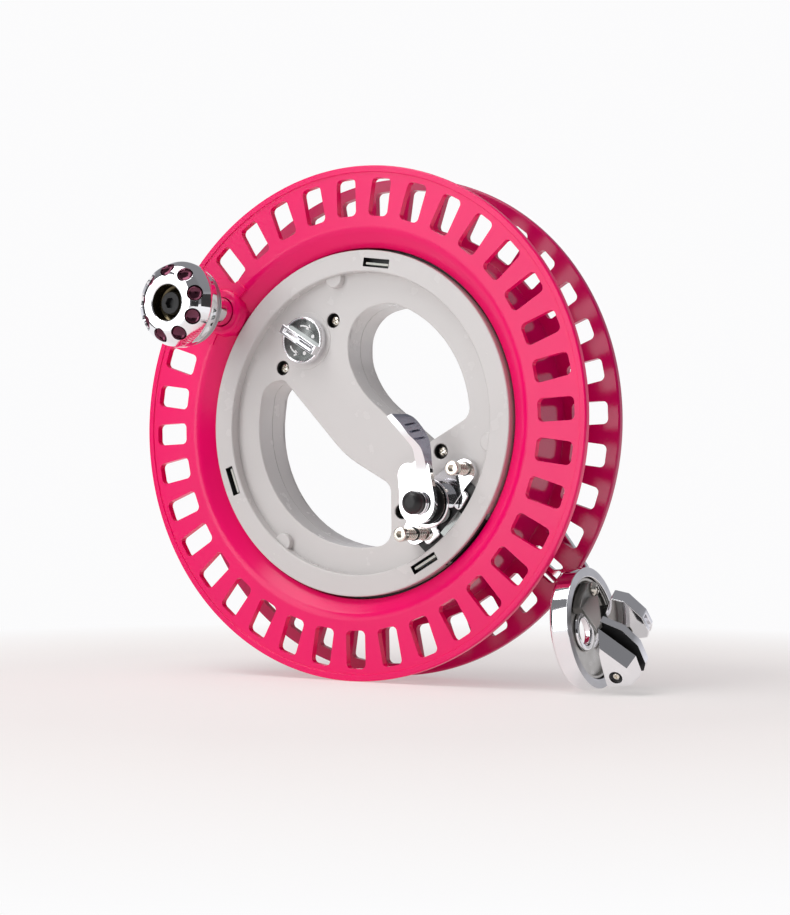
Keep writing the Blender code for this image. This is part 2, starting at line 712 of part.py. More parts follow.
def make_spindle():
    profile = [(0.0, -9.0), (2.6, -9.0), (2.6, -4.0), (3.1, -4.0), (3.1, 14.0), (0.0, 14.0)]
    turned("brake_spindle", profile, "steel", 20, BRAKE_AXIS)
    tube("spindle_ring", BRAKE_AXIS, 2.9, 5.4, -8.6, -7.7, "chrome", 24)
    profile = [
        (0.0, -13.4), (2.4, -13.0), (4.0, -11.9), (4.8, -10.6), (4.8, -8.9), (2.9, -8.9), (2.9, -9.3),
        (0.0, -9.3),
    ]
    turned("spindle_cap", profile, "black_rubber", 24, BRAKE_AXIS)


def make_brake_shoe():
    """The shoe slides out through the rim on the brake's radius, with a rubber lining on its face."""
    half = 12.5
    low, high = RIM_FACE_Y + 2.0, FLOOR_Y - GAP
    arc_points = [polar(73.2, BRAKE_ANGLE + a) for a in (-9, -6, -3, 0, 3, 6, 9)]
    back = [polar(69.4, BRAKE_ANGLE + a) for a in (9, 3, -3, -9)]
    shoe = prism("brake_shoe", arc_points + back, low, high, "chrome")
    join(shoe, radial_box("stem", BRAKE_ANGLE, 62.0, 71.0, half, low, high, "chrome"))
    inner = [polar(73.5, BRAKE_ANGLE + a) for a in (-9, -6, -3, 0, 3, 6, 9)]
    outer = [polar(74.8, BRAKE_ANGLE + a) for a in (9, 6, 3, 0, -3, -6, -9)]
    prism("brake_lining", inner + outer, low, high, "black_rubber")


# ---------------------------------------------------------------- line guide


def guide_matrix():
    tilt = Matrix.Rotation(-math.radians(GUIDE_TILT), 4, "Y")
    return Matrix.Translation(GUIDE_CENTRE) @ tilt


def lathe_x(name, profile, material, segments):
    """A turned solid whose axis is the guide's: profile of (radius, distance along the axis)."""
    obj = turned(name, profile, material, segments)
    swing = Matrix.Rotation(-math.radians(90), 4, "Z")
    return moved(obj, guide_matrix() @ swing)


def make_guide_ring():
    inner, outer = GUIDE_RING_R
    ring = lathe_x("guide_ring", [
        (inner, -0.4), (inner + 0.4, 0.0), (outer - 0.4, 0.0), (outer, -0.4),
        (outer, 1.6 - GUIDE_RING_DEPTH), (outer - 1.6, -GUIDE_RING_DEPTH),
        (inner - 2.6, -GUIDE_RING_DEPTH), (inner - 2.6, 1.4 - GUIDE_RING_DEPTH),
        (inner, 1.4 - GUIDE_RING_DEPTH),
    ], "chrome", 40)
    lug = lathe_x("lug", [
        (inner - 0.6, 1.2 - GUIDE_RING_DEPTH), (outer + 0.6, 1.2 - GUIDE_RING_DEPTH),
        (outer + 0.6, -GUIDE_RING_DEPTH - 7.0), (inner - 0.6, -GUIDE_RING_DEPTH - 7.0),
    ], "chrome", 40)
    x, y, z = GUIDE_CENTRE
    corner = ((x - 40, z + 8.5), (x + 10, z + 8.5), (x + 10, z + 40), (x - 40, z + 40))
    sector = prism("sector", corner, y + 8, ARM_Y[0] - GAP, "chrome")
    boolean(lug, sector, "INTERSECT")
    join(ring, lug)
    cut(ring, cylinder("clearance", (0, 0), FLANGE_R + 1.4, 30.0, WHEEL_WIDTH + 0.4, "chrome", 72))
    for place in LUG_SCREWS:
        cut(ring, cylinder("pilot", place, 1.1, 31.0, 50, "chrome", 8))
    return ring


def make_guide_arm():
    """Two rails that leave the hub's rear and meet at the guide ring."""
    outer = rounded((
        (60.5, -17.5, 4.0), (81.5, -46.5, 30.0), (92.6, -61.5, 4.0), (91.6, -75.0, 3.0),
        (84.0, -74.0, 4.0),
        (73.6, -64.5, 20.0), (37.6, -37.4, 4.0), (48.0, -14.0, 4.0),
    ), 30.0)
    inner = rounded((
        (58.0, -26.0, 2.0), (78.0, -53.0, 10.0), (83.0, -62.0, 2.0), (77.0, -62.5, 3.0), (49.5, -41.0, 2.0),
    ), 30.0)
    arm = prism("guide_arm", outer, *ARM_Y, "chrome")
    cut(arm, prism("window", inner, 30, 50, "chrome"))
    for place in ARM_SCREWS:
        cut(arm, cylinder("hole", place, 1.9, 30, 50, "chrome", 12))
    for place in LUG_SCREWS:
        cut(arm, cylinder("hole", place, 1.4, 30, 50, "chrome", 10))
    rear_floor = WHEEL_WIDTH - FLOOR_Y
    for number, place in enumerate(ARM_SCREWS, 1):
        tube(f"arm_spacer_{number}", place, 2.0, 4.2, rear_floor + GAP, ARM_Y[0] - GAP, "chrome", 16)
        profile = [
            (0.0, 20.0), (1.5, 20.0), (1.5, ARM_Y[1] + GAP), (3.0, ARM_Y[1] + GAP), (3.0, ARM_Y[1] + 1.6),
            (2.0, ARM_Y[1] + 2.4), (0.0, ARM_Y[1] + 2.4),
        ]
        turned(f"arm_screw_{number}", profile, "steel", 12, place)
    for number, place in enumerate(LUG_SCREWS, 1):
        profile = [
            (0.0, 37.2), (0.8, 37.2), (0.8, ARM_Y[1] + GAP), (2.2, ARM_Y[1] + GAP), (2.2, ARM_Y[1] + 1.2),
            (0.0, ARM_Y[1] + 1.8),
        ]
        turned(f"lug_screw_{number}", profile, "steel", 10, place)


def rotor_matrix():
    return guide_matrix() @ Matrix.Rotation(math.radians(ROTOR_TURN), 4, "X")


def rotor_prism(name, outline, low, high, material="chrome"):
    """An outline in the rotor's (axis, up) plane, extruded along its pins."""
    return moved(prism(name, outline, low, high, material), rotor_matrix())


def rotor_turned(name, profile, material, segments, centre):
    return moved(turned(name, profile, material, segments, centre), rotor_matrix())


def axis_prism(name, outline, low, high, material="chrome"):
    """An outline in the guide's (across, up) plane, extruded along the guide's axis."""
    obj = prism(name, [(-across, up) for across, up in outline], low, high, material)
    return moved(obj, guide_matrix() @ Matrix.Rotation(-math.radians(90), 4, "Z"))


def fork_block(name, side, layers, slot, gap_top, shift=(0.0, 0.0)):
    """Two cheeks with a slot for the roller, from layers of (distance along the pin, outline).

    The side is -1 for the near fork and +1 for the far one.
    """
    rings = [[(x + shift[0], side * y, z + shift[1]) for x, z in outline] for y, outline in layers]
    block = moved(lofted(name, rings, "chrome"), rotor_matrix())
    corners = ((FORK_GAP_START, -20.0), (30.0, -20.0), (30.0, gap_top), (FORK_GAP_START, gap_top))
    gap = [(x + shift[0], z + shift[1]) for x, z in corners]
    cut(block, rotor_prism("gap", gap, *across(side, slot)))
    pin = (FORK_PIN[0] + shift[0], FORK_PIN[1] + shift[1])
    return cut(block, rotor_turned("pin_hole", through_profile(1.6), "chrome", 12, pin))


def across(side, limits):
    """Limits along the fork pins' direction, in order, on the near (-1) or the far (+1) side."""
    return sorted((side * limits[0], side * limits[1]))


def through_profile(radius):
    return [(0.0, -40.0), (radius, -40.0), (radius, 40.0), (0.0, 40.0)]


def roller_and_pin(name, side, span, slot, shift=(0.0, 0.0)):
    pin = (FORK_PIN[0] + shift[0], FORK_PIN[1] + shift[1])
    middle = side * sum(slot) / 2
    half = (slot[1] - slot[0]) / 2 - GAP
    rotor_turned(f"{name}_roller", [
        (1.7, middle - half), (3.6, middle - half), (2.8, middle), (3.6, middle + half), (1.7, middle + half),
    ], "steel", 16, pin)
    low, high = across(side, (span[0] + 0.4, span[1] - 0.4))
    rotor_turned(f"{name}_pin", [(0.0, low), (1.3, low), (1.3, high), (0.0, high)], "steel", 12, pin)


def stem_plate():
    """The bent plate from the foot under the screw to the near fork's top edge."""
    low = STEM_DEPTH[0] + GAP
    fold = [guide_matrix() @ Vector(point) for point in STEM_FOLD]
    foot = [guide_matrix() @ Vector((low, across, up)) for _, across, up in STEM_FOLD]
    end = [rotor_matrix() @ Vector(point) for point in STEM_END]
    return lofted("stem_plate", [foot, fold, end], "chrome")


def make_forks():
    layers = ((NEAR_SPAN[0], FORK_OUTLINE), (NEAR_BEVEL, FORK_OUTLINE), (NEAR_SPAN[1], NEAR_FACE_OUTLINE))
    near = fork_block("near_fork", -1, layers, NEAR_SLOT, NEAR_GAP_TOP)
    join(near, stem_plate(), axis_prism("foot", STEM_OUTLINE, *STEM_DEPTH))
    cut(near, axis_hole(1.5))
    layers = [(y, FORK_OUTLINE) for y in FAR_SPAN]
    far = fork_block("far_fork", 1, layers, FAR_SLOT, FAR_GAP_TOP, FAR_SHIFT)
    join(far, axis_prism("root", ROOT_OUTLINE, STEM_DEPTH[0], 5.6))
    roller_and_pin("near", -1, NEAR_SPAN, NEAR_SLOT)
    roller_and_pin("far", 1, FAR_SPAN, FAR_SLOT, FAR_SHIFT)


def make_guide_carrier():
    """The plate that swivels in the ring, with the eyelet that the line runs through."""
    inner = GUIDE_RING_R[0]
    carrier = lathe_x("guide_carrier", [
        (0.0, -5.8), (inner - GAP, -5.8), (inner - GAP, CARRIER_FACE), (0.0, CARRIER_FACE),
    ], "steel", 32)
    cut(carrier, eyelet_turned("hole", through_profile(EYELET_R + 2.0), 24))
    cut(carrier, axis_hole(1.1))
    eyelet_turned("guide_eyelet", [
        (EYELET_R, -4.6), (EYELET_R + 1.2, -5.8), (EYELET_R + 1.7, -5.8),
        (EYELET_R + 1.7, CARRIER_FACE + GAP), (EYELET_R + 3.0, CARRIER_FACE + GAP),
        (EYELET_R + 2.6, CARRIER_FACE + 1.5), (EYELET_R + 1.2, CARRIER_FACE + 1.7),
        (EYELET_R, CARRIER_FACE + 0.6),
    ], 24)


def eyelet_turned(name, profile, segments):
    obj = turned(name, profile, "chrome", segments, (-EYELET[0], EYELET[1]))
    return moved(obj, guide_matrix() @ Matrix.Rotation(-math.radians(90), 4, "Z"))


def axis_hole(radius):
    """A hole along the guide's axis where the fork's screw goes."""
    hole = cylinder("hole", (-FORK_SCREW[0], FORK_SCREW[1]), radius, -20, 20, "steel", 10)
    return moved(hole, guide_matrix() @ Matrix.Rotation(-math.radians(90), 4, "Z"))


def make_fork_screw():
    seat = STEM_DEPTH[1] + GAP
    profile = [
        (0.0, seat + 1.9), (1.6, seat + 1.6), (2.9, seat + 0.4), (2.9, seat), (0.8, seat), (0.8, -5.4),
        (0.0, -5.4),
    ]
    screw = turned("fork_screw", profile, "steel", 16, (-FORK_SCREW[0], FORK_SCREW[1]))
    return moved(screw, guide_matrix() @ Matrix.Rotation(-math.radians(90), 4, "Z"))


# ---------------------------------------------------------------- bodies


def rotor_point(along, span, up):
    """A point of the guide's rotor in the reel's frame: along its axis, along its pins, and up."""
    return tuple(rotor_matrix() @ Vector((along, span, up)))


def body_layout():
    """Each moving body: a point on its joint's axis, its parent body and its nodes."""
    knob = (KNOB_AXIS[0], KNOB_FRONT, KNOB_AXIS[1])
    selector = polar(SELECTOR_RADIUS, SELECTOR_ANGLE)
    pawl = polar(PAWL_RADIUS, SELECTOR_ANGLE)
    near = (FORK_PIN[0], -sum(NEAR_SLOT) / 2, FORK_PIN[1])
    far = (FORK_PIN[0] + FAR_SHIFT[0], sum(FAR_SLOT) / 2, FORK_PIN[1] + FAR_SHIFT[1])
    wheel_screws = tuple(f"wheel_screw_{i}" for i in range(1, WHEEL_SCREWS + 1))
    return {
        "wheel": ((0.0, MID, 0.0), "handle", (
            "front_flange", "rear_flange", "line_drum", "bearing_outer_race", "ratchet_ring", "knob_post",
            "knob_bolt", *wheel_screws,
        )),
        "cage": ((0.0, MID, 0.0), "handle", ("ball_cage",)),
        "knob": (knob, "wheel", ("knob_shell", "knob_collar")),
        "selector": ((selector[0], FLOOR_Y, selector[1]), "handle", ("selector_knob", "selector_cam")),
        "pawl": ((pawl[0], PAWL_Y[0], pawl[1]), "handle", ("pawl",)),
        "brake_lever": (
            (BRAKE_AXIS[0], FLOOR_Y, BRAKE_AXIS[1]), "handle",
            ("brake_lever", "brake_spindle", "spindle_ring", "spindle_cap"),
        ),
        "brake_shoe": (
            (BRAKE_AXIS[0], FLOOR_Y, BRAKE_AXIS[1]), "handle", ("brake_shoe", "brake_lining"),
        ),
        "guide": (GUIDE_CENTRE, "handle", (
            "guide_carrier", "guide_eyelet", "near_fork", "far_fork", "near_pin", "far_pin", "fork_screw",
        )),
        "near_roller": (rotor_point(*near), "guide", ("near_roller",)),
        "far_roller": (rotor_point(*far), "guide", ("far_roller",)),
    }


def empty(name, point, parent, parent_point):
    """An empty at a point of the reel's frame, hung on its parent."""
    marker = bpy.data.objects.new(name, None)
    marker.empty_display_size = 0.01
    marker.parent = parent
    marker.location = (Vector(point) - Vector(parent_point)) * MM
    bpy.context.scene.collection.objects.link(marker)
    return marker


def lowest_and_highest(objects):
    corners = [vertex.co for obj in objects for vertex in obj.data.vertices]
    return [(min(c[i] for c in corners), max(c[i] for c in corners)) for i in range(3)]


def assemble():
    """Hangs every node on its body's empty, and the bodies on one root that stands the reel on z = 0."""
    nodes = [obj for obj in bpy.data.objects if obj.type == "MESH"]
    (x0, x1), (y0, y1), (z0, _) = lowest_and_highest(nodes)
    root = empty("line_reel", (0.0, 0.0, 0.0), None, (0.0, 0.0, 0.0))
    root.location = (-(x0 + x1) / 2, -(y0 + y1) / 2, -z0)
    markers = {"handle": (empty("handle_body", (0.0, 0.0, 0.0), root, (0.0, 0.0, 0.0)), (0.0, 0.0, 0.0))}
    held = {}
    for body, (point, parent, names) in body_layout().items():
        parent_marker, parent_point = markers[parent]
        markers[body] = (empty(f"{body}_body", point, parent_marker, parent_point), point)
        held.update(dict.fromkeys(names, body))
    for obj in nodes:
        marker, point = markers[held.get(obj.name, "handle")]
        obj.parent = marker
        obj.location = -Vector(point) * MM
        shade(obj)


def main():
    clear_scene()
    MATERIALS.update(make_materials())
    make_front_flange()
    make_rear_flange()
    make_wheel_screws()
    make_drum()
    make_bearing()
    make_ratchet_ring()
    make_knob_post()
    make_knob_bolt()
    make_knob_shell()
    make_knob_collar()
    make_front_shell()
    make_rear_shell()
    make_grip_screws()
    make_dust_seal()
    make_selector()
    make_pawl()
    make_brake_bracket()
    make_brake_bush()
    make_ear_screws()
    make_brake_lever()
    make_spindle()
    make_brake_shoe()
    make_guide_ring()
    make_guide_arm()
    make_guide_carrier()
    make_forks()
    make_fork_screw()
    assemble()


main()
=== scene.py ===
"""The looks of the hand-held line reel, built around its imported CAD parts.

Lengths are millimetres in the REEL frame: the wheel's axle is Y, the origin is its centre in the front
flange's front plane, Z is up and the user looks along +Y. Every piece's object stands at ORIGIN, the place of
that frame.
"""
import json
import math

import bmesh
import bpy
from mathutils import Matrix, Vector


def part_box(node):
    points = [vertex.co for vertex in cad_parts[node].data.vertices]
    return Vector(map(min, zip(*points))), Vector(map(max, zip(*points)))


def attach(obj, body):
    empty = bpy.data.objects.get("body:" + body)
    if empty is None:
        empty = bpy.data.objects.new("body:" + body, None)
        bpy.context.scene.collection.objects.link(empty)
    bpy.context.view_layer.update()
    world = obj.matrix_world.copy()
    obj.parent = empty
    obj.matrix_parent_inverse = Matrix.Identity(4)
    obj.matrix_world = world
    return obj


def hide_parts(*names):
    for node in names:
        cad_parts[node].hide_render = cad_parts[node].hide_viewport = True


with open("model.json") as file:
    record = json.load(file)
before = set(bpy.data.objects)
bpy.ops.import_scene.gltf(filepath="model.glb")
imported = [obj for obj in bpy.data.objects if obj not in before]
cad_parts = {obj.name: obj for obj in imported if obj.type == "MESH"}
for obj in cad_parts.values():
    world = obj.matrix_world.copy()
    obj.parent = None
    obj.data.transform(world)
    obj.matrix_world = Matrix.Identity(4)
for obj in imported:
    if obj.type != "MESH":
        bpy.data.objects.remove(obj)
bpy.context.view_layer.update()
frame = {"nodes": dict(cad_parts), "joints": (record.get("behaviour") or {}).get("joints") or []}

MM = 0.001
TAU = 2 * math.pi
ON_AXIS = 1e-6
WHEEL_SIDES = 288

# Wheel
WHEEL_WIDTH = 36.5
MID = WHEEL_WIDTH / 2
FLANGE_R = 110.0
FLANGE_BACK = 3.6
FACE_Y = 0.5
WINDOWS = 36
WINDOW_R = (88.5, 104.7)
WINDOW_WIDTH = 9.5
WINDOW_ROUND = 2.2
WINDOW_PHASE = 1.5
CRANK_WINDOWS = (141.5, 151.5)
PAD_WINDOWS = (131.5, 121.5, 161.5)
WHEEL_BORE_R = 75.5
CONE_R = 82.5
CONE_Y = 6.3
DRUM_R = 85.0
WEB_R = 79.8
WHEEL_SCREWS = 6
WHEEL_SCREW_CIRCLE = 82.7
WHEEL_SCREW_PHASE = 26.5

# Hub
RIM_R = 74.3
RIM_FACE_Y = 3.3
RIM_BACK_Y = 9.0
RECESS_R = 65.0
FLOOR_Y = 8.0
BARREL_R = 71.4
SEAT_R = 69.6
BARREL_BACK = 12.7
OPENING_R = 53.5
PLATE_R = RECESS_R + 1.8
PLATE_BACK = FLOOR_Y + 2.4
WALL_BACK = MID - 0.12
GRIP_SCREWS = ((-14.1, 45.3), (-40.8, 25.8), (39.7, -12.9), (20.6, -38.0))
BUMP_ANGLES = (101.0, 233.0, 351.5)
SLOT_ANGLES = (81.0, 200.5, 300.0)

# Crank knob
KNOB_AXIS = (-67.7, 51.5)
KNOB_FRONT = -40.5
KNOB_BACK = -22.5
KNOB_DIMPLES = 9
DIMPLE_CIRCLE = 14.3
DIMPLE_PHASE = 7.0
DIMPLE_LEAN = 42.0
POST_R = 6.3
BOSS_FACE = -1.5

# Selector
SELECTOR_ANGLE = 127.0
SELECTOR_RADIUS = 46.5
SELECTOR_BAR_ANGLE = -32.0
SELECTOR_TOP = 3.9

# Brake
BRAKE_AXIS = (37.0, -34.5)
BRAKE_ANGLE = -43.0
HOUSING_BORE_R = 8.9
EARS = ((53.0, -20.5), (28.5, -47.5))

# Line guide
GUIDE_TILT = 7.8
GUIDE_RING_R = (20.6, 24.5)
GUIDE_RING_DEPTH = 8.4
ROTOR_TURN = 30.0
FORK_PIN = (12.8, -10.4)
WELL_R = 2.7
FAR_SHIFT = (-3.0, 2.6)
CARRIER_FACE = -3.0
EYELET = (-4.8, -1.0)
EYELET_R = 5.2
FORK_SCREW = (0.6, 15.4)
ARM_Y = (38.4, 41.4)
ARM_SCREWS = ((54.6, -19.9), (43.8, -38.1))
LUG_SCREWS = ((88.6, -64.6), (88.0, -71.2))


def joint(name):
    return next(j for j in frame["joints"] if j["name"] == name)


WHEEL_AXIS = Vector(joint("wheel_spin")["pos_m"])
ORIGIN = Vector((WHEEL_AXIS.x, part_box("rear_flange")[1].y - WHEEL_WIDTH * MM, WHEEL_AXIS.z))
GUIDE_CENTRE = (Vector(joint("guide_swivel")["pos_m"]) - ORIGIN) / MM


# ---- materials


def map_range(tree, factor, low, high, start, end):
    """Takes a value from start...end to low...high."""
    node = tree.nodes.new("ShaderNodeMapRange")
    for key, value in (("From Min", start), ("From Max", end), ("To Min", low), ("To Max", high)):
        node.inputs[key].default_value = value
    tree.links.new(factor, node.inputs["Value"])
    return node.outputs["Result"]


def colour_mix(tree, factor, first, second):
    node = tree.nodes.new("ShaderNodeMix")
    node.data_type = "RGBA"
    node.inputs["A"].default_value = first
    node.inputs["B"].default_value = second
    tree.links.new(factor, node.inputs["Factor"])
    return node.outputs["Result"]


def shader_mix(tree, factor, first, second):
    node = tree.nodes.new("ShaderNodeMixShader")
    tree.links.new(factor, node.inputs["Fac"])
    tree.links.new(first, node.inputs[1])
    tree.links.new(second, node.inputs[2])
    return node.outputs["Shader"]


class Shader:
    """A Principled material with noise-driven colour, roughness and bump."""

    def __init__(self, name, colour, metallic, specular):
        self.material = bpy.data.materials.new(name)
        self.material.use_nodes = True
        self.tree = self.material.node_tree
        self.bsdf = self.tree.nodes["Principled BSDF"]
        self.colour = colour
        self.bsdf.inputs["Metallic"].default_value = metallic
        self.bsdf.inputs["Specular IOR Level"].default_value = specular
        self.place = self.tree.nodes.new("ShaderNodeTexCoord").outputs["Object"]

    def noise(self, scale, detail, low=0.0, high=1.0):
        """Noise whose middle part is spread from low to high."""
        return map_range(self.tree, self.raw_noise(scale, detail), low, high, 0.3, 0.7)

    def raw_noise(self, scale, detail):
        texture = self.tree.nodes.new("ShaderNodeTexNoise")
        texture.inputs["Scale"].default_value = scale
        texture.inputs["Detail"].default_value = detail
        self.tree.links.new(self.place, texture.inputs["Vector"])
        return texture.outputs["Fac"]

    def vary_colour(self, scale, amount):
        """The colour drifts a little lighter and darker over the surface."""
        darker = (*[c * (1 - amount) for c in self.colour], 1.0)
        lighter = (*[min(1.0, c * (1 + amount)) for c in self.colour], 1.0)
        drift = colour_mix(self.tree, self.noise(scale, 4.0), darker, lighter)
        self.tree.links.new(drift, self.bsdf.inputs["Base Color"])
        return self

    def vary_roughness(self, scale, low, high):
        self.tree.links.new(self.noise(scale, 5.0, low, high), self.bsdf.inputs["Roughness"])
        return self

    def bump(self, scale, height):
        """Relief of the given height in millimetres."""
        node = self.tree.nodes.new("ShaderNodeBump")
        node.inputs["Strength"].default_value = 0.5
        node.inputs["Distance"].default_value = height * MM
        self.tree.links.new(self.raw_noise(scale, 2.0), node.inputs["Height"])
        self.tree.links.new(node.outputs["Normal"], self.bsdf.inputs["Normal"])
        return self


# Key, material name, colour, metallic, specular level, drift (scale, amount), roughness (scale, low, high)
# and relief (scale, height in mm)
FINISHES = (
    ("pink", "pink_gloss", (0.93, 0.002, 0.14), 0.0, 0.32, (30, 0.03), (90, 0.17, 0.23), (900, 0.006)),
    # The darker pink below is the same plastic, for the rear flange and the drum: painted shade.
    ("pink_shaded", "pink_painted_shade", (0.56, 0.001, 0.10), 0.0, 0.35, (30, 0.03), (90, 0.12, 0.18), (900, 0.006)),
    ("grey", "grey_satin", (0.66, 0.635, 0.625), 0.0, 0.5, (35, 0.01), (120, 0.24, 0.28), (1500, 0.01)),
    ("chrome", "chrome_plate", (0.90, 0.90, 0.92), 1.0, 0.5, (40, 0.02), (160, 0.03, 0.08), (40, 0.004)),
    ("satin", "satin_plate", (0.95, 0.95, 0.97), 1.0, 0.5, (60, 0.02), (200, 0.28, 0.36), (500, 0.006)),
    # The blade's side colour below is a darker, bluer plate for faces turned towards +X: painted shade.
    ("side", "blade_side_painted_shade", (0.40, 0.41, 0.49), 1.0, 0.5, (60, 0.04), (200, 0.2, 0.3), (500, 0.006)),
    ("smoked", "smoked_plate", (0.20, 0.21, 0.205), 1.0, 0.5, (120, 0.2), (160, 0.08, 0.16), (60, 0.01)),
    ("turned", "turned_face", (0.50, 0.50, 0.515), 1.0, 0.5, (50, 0.05), (300, 0.28, 0.4), (900, 0.01)),
    ("steel", "screw_steel", (0.74, 0.70, 0.63), 1.0, 0.5, (120, 0.08), (400, 0.12, 0.26), (700, 0.02)),
    ("inner", "machined_steel", (0.50, 0.485, 0.46), 1.0, 0.5, (90, 0.08), (260, 0.25, 0.42), (600, 0.02)),
    ("brushed", "brushed_plate", (0.27, 0.265, 0.255), 0.35, 0.5, (90, 0.05), (260, 0.3, 0.42), (600, 0.01)),
    # The dimple colour below is a dark pink-purple metal: painted shade and a painted reflection of the pink
    # flange.
    ("dimple", "dimple_painted_shade", (0.13, 0.04, 0.065), 0.95, 0.5, (160, 0.3), (200, 0.12, 0.22), (400, 0.02)),
    # The dark brown metal below lines the knob's hole: painted shade.
    ("hole_shade", "bore_shade", (0.13, 0.105, 0.06), 0.9, 0.5, (140, 0.4), (200, 0.12, 0.25), (300, 0.02)),
    # Black rubber below serves the seal, bush, lining and cap, and also stands as black painted shade in
    # holes, slots and gaps.
    ("rubber", "black_rubber", (0.012, 0.012, 0.013), 0.0, 0.5, (100, 0.2), (200, 0.3, 0.5), (1200, 0.03)),
    # Off-white nylon below serves the ball cage, and also the pale bars in the rim's slots, a painted
    # highlight.
    ("nylon", "natural_nylon_and_painted_glint", (0.75, 0.73, 0.66), 0.0, 0.5, (60, 0.04), (150, 0.4, 0.55), (800, 0.02)),
    ("paint", "mark_paint", (0.92, 0.92, 0.92), 0.0, 0.5, (200, 0.03), (300, 0.4, 0.6), (900, 0.01)),
)
NYLON_SCATTER = 0.1


def make_materials():
    made = {}
    for key, name, colour, metallic, specular, drift, roughness, relief in FINISHES:
        shader = Shader(name, colour, metallic, specular)
        made[key] = shader.vary_colour(*drift).vary_roughness(*roughness).bump(*relief)
    made["nylon"].bsdf.inputs["Subsurface Weight"].default_value = NYLON_SCATTER
    return {key: shader.material for key, shader in made.items()}


MATERIALS = make_materials()


# ---- modelling helpers


def polar(radius, degrees):
    angle = math.radians(degrees)
    return radius * math.cos(angle), radius * math.sin(angle)


def linked(name, data):
    """A new object in the scene."""
    obj = bpy.data.objects.new(name, data)
    bpy.context.scene.collection.objects.link(obj)
    return obj


def reworked(mesh, *steps):
    """Takes a mesh through bmesh steps."""
    work = bmesh.new()
    work.from_mesh(mesh)
    for step in steps:
        step(work)
    work.to_mesh(mesh)
    work.free()


def weld(work):
    bmesh.ops.remove_doubles(work, verts=work.verts, dist=1e-6)


def join_flat(work):
    """Joins faces that lie in one plane, so that flat areas shade flat."""
    bmesh.ops.dissolve_limit(work, angle_limit=math.radians(0.2), verts=work.verts, edges=work.edges)


def face_outwards(work):
    bmesh.ops.recalc_face_normals(work, faces=work.faces)


def raw_object(name, points, faces, material):
    mesh = bpy.data.meshes.new(name)
    mesh.from_pydata([Vector(p) * MM for p in points], [], faces)
    reworked(mesh, face_outwards)
    mesh.materials.append(MATERIALS[material])
    return linked(name, mesh)


def turned(name, profile, material, segments, centre=(0.0, 0.0)):
    """A solid turned about Y. A profile is a closed loop of (radius, y), or a line from axis to axis."""
    points, rings, faces = [], [], []
    for radius, y in profile:
        if radius < ON_AXIS:
            rings.append([len(points)] * segments)
            points.append((centre[0], y, centre[1]))
            continue
        rings.append(range(len(points), len(points) + segments))
        for i in range(segments):
            x, z = polar(radius, 360.0 * i / segments)
            points.append((centre[0] + x, y, centre[1] + z))
    for row, ring in enumerate(rings):
        following = rings[(row + 1) % len(rings)]
        if profile[row][0] < ON_AXIS and profile[(row + 1) % len(rings)][0] < ON_AXIS:
            continue
        for i in range(segments):
            j = (i + 1) % segments
            faces.append(tuple(dict.fromkeys((ring[i], ring[j], following[j], following[i]))))
    return raw_object(name, points, faces, material)


def lofted(name, rings, material):
    """A solid through rings of points, each with as many points as the first, closed at both ends."""
    count = len(rings[0])
    points = [point for ring in rings for point in ring]
    faces = [tuple(range(count)), tuple(range(len(points) - 1, len(points) - count - 1, -1))]
    for base in range(0, len(points) - count, count):
        for i in range(count):
            j = (i + 1) % count
            faces.append((base + i, base + j, base + count + j, base + count + i))
    return raw_object(name, points, faces, material)


def prism(name, outline, low, high, material):
    """An outline of (x, z) points extruded along Y."""
    return lofted(name, [[(x, y, z) for x, z in outline] for y in (low, high)], material)


def rod(radius, low, high, material, sides, centre=(0.0, 0.0)):
    """A plain round bar along Y, mostly to cut a hole with."""
    return turned("rod", [(0, low), (radius, low), (radius, high), (0, high)], material, sides, centre)


def corner_arc(before, corner, after, radius, step):
    p, q, r = Vector(before), Vector(corner), Vector(after)
    into, out = (q - p).normalized(), (r - q).normalized()
    turn = into.angle_signed(out)
    start = q - into * abs(radius * math.tan(turn / 2))
    side = Vector((into.y, -into.x)) * math.copysign(radius, turn)
    count = max(1, math.ceil(abs(math.degrees(turn)) / step))
    spokes = [Matrix.Rotation(-turn * i / count, 2) @ -side for i in range(count + 1)]
    return [tuple(start + side + spoke) for spoke in spokes]


def rounded(corners, step=6.0):
    """A closed outline from corners of (x, z, radius)."""
    points = []
    for i, (x, z, radius) in enumerate(corners):
        if radius == 0.0:
            points.append((x, z))
        else:
            after = corners[(i + 1) % len(corners)][:2]
            points.extend(corner_arc(corners[i - 1][:2], (x, z), after, radius, step))
    return points


def ring_profile(corners, step=15.0):
    """A closed turned profile from corners of (radius, y, rounding)."""
    return rounded(corners, step)


def axle_profile(corners, step=15.0):
    """A turned profile whose first and last corners lie on the axis."""
    points = [corners[0][:2]]
    for i in range(1, len(corners) - 1):
        radius, y, rounding = corners[i]
        if rounding == 0.0:
            points.append((radius, y))
        else:
            points.extend(corner_arc(corners[i - 1][:2], (radius, y), corners[i + 1][:2], rounding, step))
    return points + [corners[-1][:2]]


def box_outline(centre, angle, length, width):
    along = Vector(polar(length / 2, angle))
    side = Vector((-along.y, along.x)).normalized() * width / 2
    at = Vector(centre)
    return [tuple(at + along * u + side * v) for u, v in ((-1, -1), (1, -1), (1, 1), (-1, 1))]


def moved(obj, matrix):
    """Carries a mesh from its own millimetre frame into the reel's."""
    scale = Matrix.Scale(MM, 4)
    obj.data.transform(scale @ matrix @ scale.inverted())
    if matrix.determinant() < 0:
        obj.data.flip_normals()
    return obj


def applied(obj):
    bpy.context.view_layer.update()
    graph = bpy.context.evaluated_depsgraph_get()
    result = bpy.data.meshes.new_from_object(obj.evaluated_get(graph))
    obj.modifiers.clear()
    obj.data = result
    return obj


